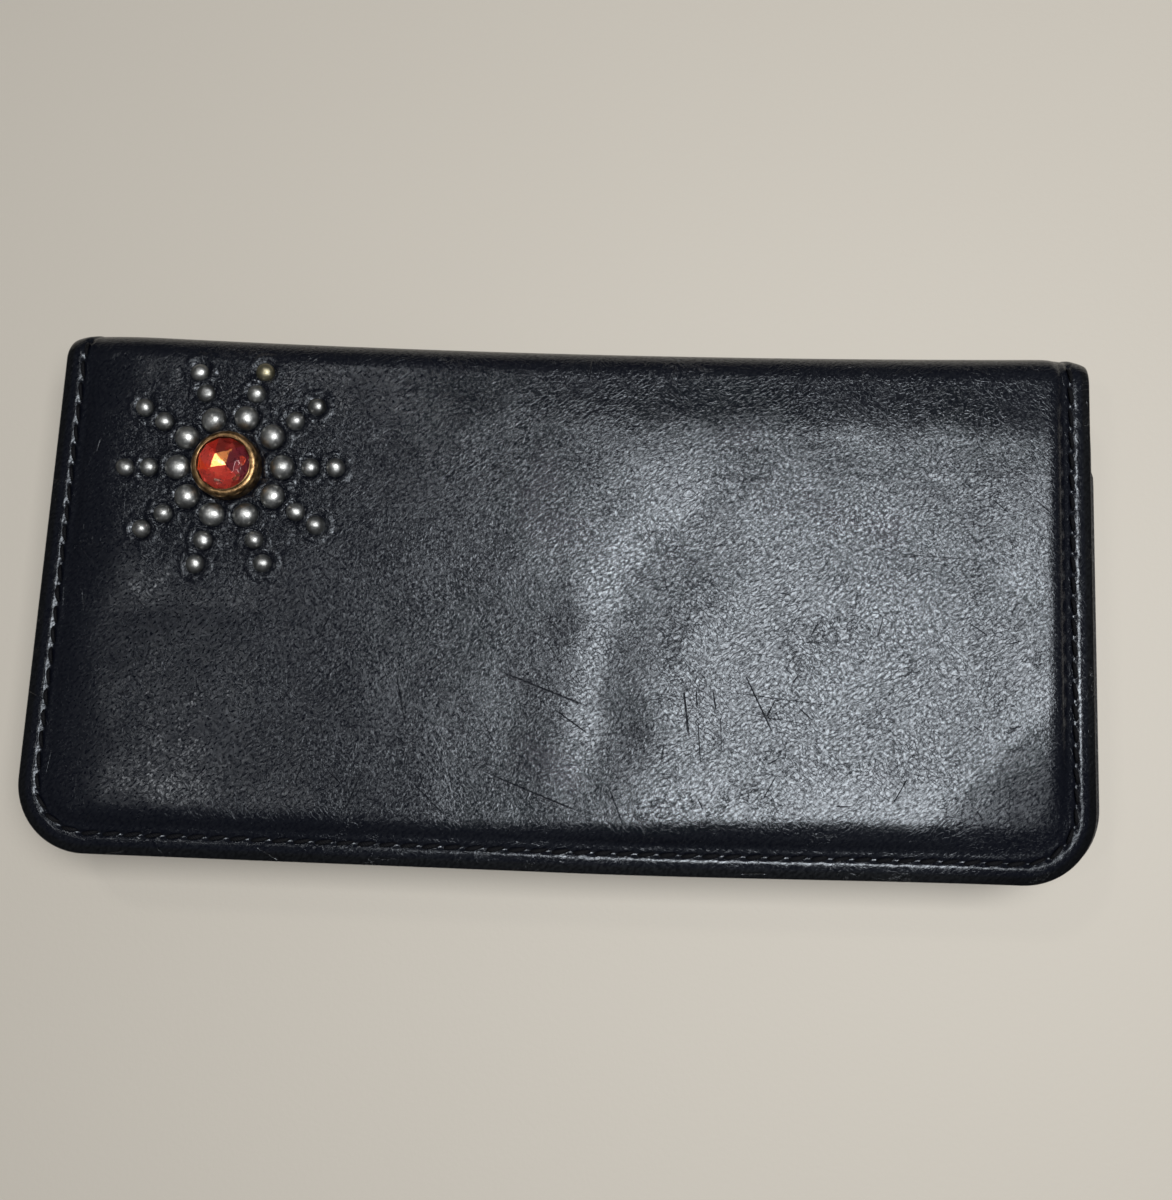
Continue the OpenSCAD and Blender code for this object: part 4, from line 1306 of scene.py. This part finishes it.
FREE_EDGE = np.array([0, 0.05, 0.12, 0.22, 0.36, 0.55, 0.8, 1.0, 1.15, 1.28, 1.4, 1.52, 1.65, 1.8, 2.1, 2.7, 4.0])
SEWN_EDGE = np.array([0, 0.05, 0.12, 0.22, 0.36, 0.55, 0.9, 1.6, 3.0])
NOTCH_R, NOTCH_CENTRE = 9.0, 6.75


def flat_sheet(name, low, high, z0, z1, material, corner=1.5, notch=False, crease=True, bulge=0.0, step=2.0,
               waves=0.0, seed=0, fold=0.34):
    """A rectangle of thin leather with rounded corners and edges: a free edge at low y, with a crease beside it."""
    (x0, y0), (x1, y1) = np.round(low, 3), np.round(high, 3)
    middle = (x0 + x1) / 2
    inner = spaced(x0 + SEWN_EDGE[-1], x1 - SEWN_EDGE[-1], step)
    if notch:
        inner = np.unique(np.concatenate([inner, spaced(middle - 8, middle + 8, 0.5)]))
    xs = np.unique(np.round(np.concatenate([x0 + SEWN_EDGE, inner, x1 - SEWN_EDGE]), 3))
    side = np.minimum(xs - x0, x1 - xs)
    cut = corner - np.sqrt(np.clip(corner ** 2 - np.clip(corner - side, 0, None) ** 2, 0, None))
    start, end = y0 + cut, y1 - cut
    if notch:
        bite = np.sqrt(np.clip(NOTCH_R ** 2 - (xs - middle) ** 2, 0, None)) - NOTCH_CENTRE
        start = start + np.log1p(np.exp(np.clip(bite * 5, -40, 40))) / 5
    count = max(3, int((y1 - y0 - FREE_EDGE[-1] - SEWN_EDGE[-1]) / step))
    shares = np.linspace(0, 1, count + 1)[1:-1]
    rows = [start + d for d in FREE_EDGE]
    gap_lo, gap_hi = start + FREE_EDGE[-1], end - SEWN_EDGE[-1]
    rows += [gap_lo + (gap_hi - gap_lo) * k for k in shares]
    rows += [end - d for d in SEWN_EDGE[::-1]]
    y = np.array(rows)
    x = np.broadcast_to(xs, y.shape)
    d = np.minimum(np.minimum(y - start, end - y), np.broadcast_to(side, y.shape))
    half_t = (z1 - z0) / 2
    turn = edge_round(d.ravel(), half_t, fold).reshape(d.shape)
    plan = columns(x, y)
    lift = waves * (smooth_noise(plan, seed, 11.0) * smoothstep(d.ravel() / 4)).reshape(d.shape)
    hump = bulge * (smoothstep((x - x0) / 22) * smoothstep((x1 - x) / 22) * smoothstep((end - y) / 16)
                    * (0.35 + 0.65 * smoothstep((y - start) / 14)))
    line = -0.09 * np.exp(-((y - start - 1.4) / 0.18) ** 2) if crease else 0.0
    top = z1 - turn + lift + hump + line * (d > 0.5)
    low_z = z0 + turn + lift * 0.3 + hump
    index = np.arange(y.size).reshape(y.shape)
    faces = grid_faces(index)
    on_edge = (d < 1e-6).ravel()
    high_v, low_v = columns(x, y, top), columns(x, y, low_z)
    high_v[on_edge] = low_v[on_edge] = (high_v[on_edge] + low_v[on_edge]) / 2
    verts, faces, _ = close_sheet(high_v, low_v, faces, on_edge)
    return new_mesh(name, verts, faces, material, sharp=60)


def node_span(node):
    low, high = box_mm(node)
    return low[:2], high[:2], low[2], high[2]


def card_half(half, flip):
    """One half's card panel and six slots, with the rows of stitches that hold them."""
    bag = Bag()
    rng = np.random.default_rng(83)
    pieces = []
    low, high, z0, z1 = node_span("back_card_panel")
    panel = flat_sheet(half + "_card_leather", low, high, z0, z1, slot_skin, corner=3.0, seed=1, waves=0.02)
    pieces.append(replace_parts(panel, half + "_card_panel"))
    for side in ("left", "right"):
        for k in (1, 2, 3):
            node = "slot_%s_%d" % (side, k)
            low, high, z0, z1 = node_span("back_" + node)
            slot = flat_sheet("%s_%s_leather" % (half, node), low, high, z0 + 0.01, z1 - 0.01, slot_skin,
                              notch=True, seed=10 + k)
            pieces.append(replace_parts(slot, "%s_%s" % (half, node)))
    tops = [(node_span("back_slot_left_%d" % k)[0][1], node_span("back_slot_left_%d" % k)[3]) for k in (1, 2, 3)]
    left, right = node_span("back_slot_left_1"), node_span("back_slot_right_1")
    inset, pitch = 1.3, 2.8
    for x in (left[0][0] + inset, left[1][0] - inset, right[0][0] + inset, right[1][0] - inset):
        for (start, z), end in zip(tops, [tops[1][0], tops[2][0], left[1][1]]):
            count = int(round((end - start - 1.2) / pitch))
            ys = np.linspace(start + 0.9, end - 0.5, count + 1)
            thread_run(bag, [(x, y, z - 0.05) for y in ys], rng)
    threads = bag.mesh(half + "_slot_stitches", thread_skin)
    for obj in pieces + [threads]:
        if flip:
            mirror_z(obj)
        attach(obj, half)


card_half("back", False)
card_half("front", True)


# ---------------------------------------------------------------- coin pouch

wall_lo, wall_hi = box_mm("pouch_lower_wall")
POUCH_X, POUCH_MOUTH, POUCH_TOP = wall_hi[0], wall_lo[1], wall_hi[1]
POUCH_Z0, POUCH_Z1 = wall_lo[2], box_mm("pouch_upper_wall")[1][2]
WALL_T = wall_hi[2] - wall_lo[2]
tongue_lo, tongue_hi = box_mm("pouch_tongue")


def pouch_wall(name, node, flip):
    """One side of the pouch: soft leather that bulges a little, with stitches round three sides."""
    z1 = THICK - POUCH_Z0
    wall = flat_sheet(name, (-POUCH_X, POUCH_MOUTH), (POUCH_X, POUCH_TOP), z1 - WALL_T, z1, slot_skin, corner=2.0,
                      bulge=0.42, waves=0.03, seed=51 + flip, step=1.6)
    bag, rng = Bag(), np.random.default_rng(85)
    inset, pitch, first, side_run = 1.6, 3.0, POUCH_MOUTH + 2.4, 56
    side = np.linspace(first, POUCH_TOP - inset, int(side_run / pitch))
    for x in (-POUCH_X + inset, POUCH_X - inset):
        thread_run(bag, [(x, y, z1 - 0.03) for y in side], rng)
    line = np.linspace(-POUCH_X + inset, POUCH_X - inset, int(2 * POUCH_X / pitch))
    thread_run(bag, [(x, POUCH_TOP - inset, z1 - 0.03) for x in line], rng)
    thread_run(bag, [(x, first, z1 + 0.03) for x in line], rng)
    thread = bag.mesh(name + "_stitches", thread_skin)
    for obj, slot in ((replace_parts(wall, node), "leather_lining"), (thread, "thread")):
        if flip:
            mirror_z(obj)
        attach(obj, "spine")


def run_along(name, rings, material, uv=None):
    """Closed strip through equal rings of points, with flat ends."""
    return new_mesh(name, np.concatenate(rings), tube_faces(len(rings), len(rings[0])), material, uv=uv, sharp=50)


def gusset(name, node, side):
    """A pleat that folds inward between the pouch's two walls, shallower towards the seam end."""
    z_in, z_out, pleat = POUCH_Z0 + WALL_T + 0.03, POUCH_Z1 - WALL_T - 0.03, 3.4
    ys = spaced(POUCH_MOUTH + 0.6, POUCH_TOP - 0.3, 2.0)
    rings = []
    for y in ys:
        depth = pleat * (1 - 0.55 * smoothstep((y - POUCH_MOUTH) / (POUCH_TOP - POUCH_MOUTH)))
        k = np.linspace(0, 1, 17)
        x = POUCH_X - 0.45 - depth * (1 - np.abs(2 * k - 1) ** 1.6)
        z = z_in + (z_out - z_in) * k
        ring = strip_section(columns(x, z), 0.5)
        ring[:, 1] = np.clip(ring[:, 1], z_in, z_out)
        ring = np.insert(ring, 1, y, axis=1) * (side, 1, 1)
        rings.append(ring[::-1] if side > 0 else ring)
    obj = run_along(name, rings, slot_skin)
    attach(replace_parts(obj, node), "spine")


def tongue():
    """Folded strip that sews the pouch to the spine: pinched in the middle, flared on the lining."""
    y0, y1 = POUCH_TOP - 0.5, tongue_hi[1] - 0.03
    z0, z1 = tongue_lo[2] + 0.04, tongue_hi[2] - 0.04
    profile = [(0.0, 1.0), (0.12, 1.0), (0.28, 0.86), (0.42, 0.5), (0.56, 0.34), (0.7, 0.34), (0.8, 0.45), (0.88, 0.72),
               (0.94, 0.93), (1.0, 1.0)]
    mid, half = (z0 + z1) / 2, (z1 - z0) / 2
    upper = [(y0 + (y1 - y0) * u, mid + half * h) for u, h in profile]
    lower = [(y, 2 * mid - z) for y, z in upper[::-1]]
    section = np.array(upper + lower)
    rings = []
    for x in spaced(-tongue_hi[0] + 0.2, tongue_hi[0] - 0.2, 2.5):
        end = 1 - 0.35 * math.exp(-(tongue_hi[0] - abs(x)) / 0.5)
        part = section.copy()
        part[:, 1] = mid + (part[:, 1] - mid) * end * (1 + 0.02 * math.sin(x * 0.7))
        rings.append(np.insert(part, 0, x, axis=1)[::-1])
    obj = run_along("pouch_tongue_leather", rings, slot_skin)
    bevel = obj.modifiers.new("round", "SUBSURF")
    bevel.levels = bevel.render_levels = 1
    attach(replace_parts(obj, "pouch_tongue"), "spine")


def coin_tape(name, node, flip):
    """Woven tape along the pouch's mouth: hemmed inside the wall and turned down to the teeth."""
    hem_z, mouth = POUCH_Z1 - WALL_T - 0.28, POUCH_MOUTH
    line = [(mouth + 8.0, hem_z), (mouth + 4.0, hem_z), (mouth + 1.0, hem_z), (mouth + 0.2, hem_z)]
    line += [(mouth - 0.05, hem_z - 0.1), (mouth - 0.2, hem_z - 0.4), (mouth - 0.28, hem_z - 0.9),
             (mouth - 0.3, MID_Z + 1.0)]
    section = strip_section(line, 0.42)
    across = run_lengths(section)
    xs = spaced(-POUCH_X + 0.3, POUCH_X - 0.3, 1.2)
    rings = [np.insert(section, 0, x, axis=1)[::-1] for x in xs]
    uv = columns(np.repeat(xs, len(section)), np.tile(across[::-1], len(xs)))
    obj = run_along(name, rings, tape_skin, uv)
    if flip:
        mirror_z(obj)
    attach(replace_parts(obj, node), "spine")


pouch_wall("pouch_upper_leather", "pouch_upper_wall", False)
pouch_wall("pouch_lower_leather", "pouch_lower_wall", True)
gusset("pouch_left_pleat", "pouch_left_gusset", -1)
gusset("pouch_right_pleat", "pouch_right_gusset", 1)
tongue()
coin_tape("coin_upper_woven_tape", "coin_zip_upper_tape", False)
coin_tape("coin_lower_woven_tape", "coin_zip_lower_tape", True)


# ---------------------------------------------------------------- CAD pieces that keep their shape


def finish_cad(node, material, width=0.0):
    """Gives a CAD node its material, and rounds its edges with modifiers."""
    obj = NODES[node]
    for slot in obj.material_slots:
        slot.material = material
    if not obj.material_slots:
        obj.data.materials.append(material)
    if width:
        weld = obj.modifiers.new("weld", "WELD")
        weld.merge_threshold = 0.01 * MM
        bevel = obj.modifiers.new("soft_edges", "BEVEL")
        bevel.width, bevel.segments, bevel.limit_method = width * MM, 2, "ANGLE"
        bevel.angle_limit = math.radians(30)
        bevel.harden_normals = True


# How far the edges of each kind of piece are rounded, in millimetres
ROUND_TEETH, ROUND_COIN_TEETH, ROUND_SLIDER, ROUND_FELT = 0.14, 0.09, 0.16, 0.15

for node in ("back_zip_teeth", "front_zip_teeth", "zip_end_stops"):
    finish_cad(node, nickel, ROUND_TEETH)
for node in ("coin_zip_upper_teeth", "coin_zip_lower_teeth", "coin_zip_end_stops"):
    finish_cad(node, nickel, ROUND_COIN_TEETH)
for node in ("zip_slider", "zip_pull", "coin_zip_slider", "coin_zip_pull"):
    finish_cad(node, nickel, ROUND_SLIDER)
finish_cad("stud_backing", felt_skin, ROUND_FELT)


# ---------------------------------------------------------------- camera, floor and light


# Where the camera is, in metres, and how it is turned from looking straight down: the axis times the angle in radians
CAMERA_PLACE, CAMERA_TURN = (0.01094, -0.02956, 0.24963), (0.1296, 0.0298, 0.0348)


def make_camera():
    data = bpy.data.cameras.new("camera")
    data.lens, data.sensor_width, data.clip_start = 36.0, 36.0, 0.01
    obj = bpy.data.objects.new("camera", data)
    bpy.context.scene.collection.objects.link(obj)
    turn = Vector(CAMERA_TURN)
    rotation = Matrix.Rotation(turn.length, 4, turn.normalized())
    obj.matrix_world = Matrix.Translation(Vector(CAMERA_PLACE)) @ rotation
    bpy.context.scene.camera = obj


# Just under the back, in millimetres
FLOOR_Z = -0.02


def make_floor_plane():
    size, cells = 3.0, 24
    line = np.linspace(-size / MM, size / MM, cells + 1)
    x, y = np.meshgrid(line, line)
    verts = columns(x, y, np.full(x.size, FLOOR_Z))
    index = np.arange(x.size).reshape(x.shape)
    obj = new_mesh("studio_floor", verts, grid_faces(index), make_floor("floor_finish"))


def area_light(name, spot, aim, size, power, colour=(1, 1, 1)):
    data = bpy.data.lights.new(name, "AREA")
    data.shape, data.size, data.size_y = "RECTANGLE", size[0], size[1]
    data.energy, data.color = power, colour
    obj = bpy.data.objects.new(name, data)
    bpy.context.scene.collection.objects.link(obj)
    obj.location = spot
    obj.rotation_euler = (Vector(aim) - Vector(spot)).to_track_quat("-Z", "Y").to_euler()


def make_world():
    """Pale overhead and dim towards the horizon, as in a room with a white ceiling."""
    world = bpy.data.worlds.new("studio")
    world.use_nodes = True
    nodes, links = world.node_tree.nodes, world.node_tree.links
    where, split = nodes.new("ShaderNodeTexCoord"), nodes.new("ShaderNodeSeparateXYZ")
    ramp = nodes.new("ShaderNodeMapRange")
    ramp.interpolation_type = "SMOOTHSTEP"
    for key, value in (("From Min", 0.05), ("From Max", 0.75), ("To Min", 0.045), ("To Max", 0.13)):
        ramp.inputs[key].default_value = value
    links.new(where.outputs["Generated"], split.inputs[0])
    links.new(split.outputs[2], ramp.inputs["Value"])
    links.new(ramp.outputs[0], nodes["Background"].inputs["Strength"])
    nodes["Background"].inputs["Color"].default_value = (0.92, 0.96, 1.0, 1.0)
    bpy.context.scene.world = world
    bpy.context.scene.view_settings.view_transform = "Standard"


make_camera()
make_floor_plane()
make_world()
area_light("main_softbox", (0.171, 0.015, 0.70), (0.171, 0.015, 0.0), (0.405, 0.35), 5.1, (0.97, 0.99, 1.0))
area_light("corner_lamp", (-0.32, -0.042, 0.70), (-0.077, -0.035, 0.0), (0.08, 0.06), 0.20, (1.0, 0.99, 0.97))
area_light("small_lamp", (-0.27, 0.36, 0.72), (-0.05, 0.0, 0.0), (0.07, 0.07), 0.32, (1.0, 0.98, 0.95))
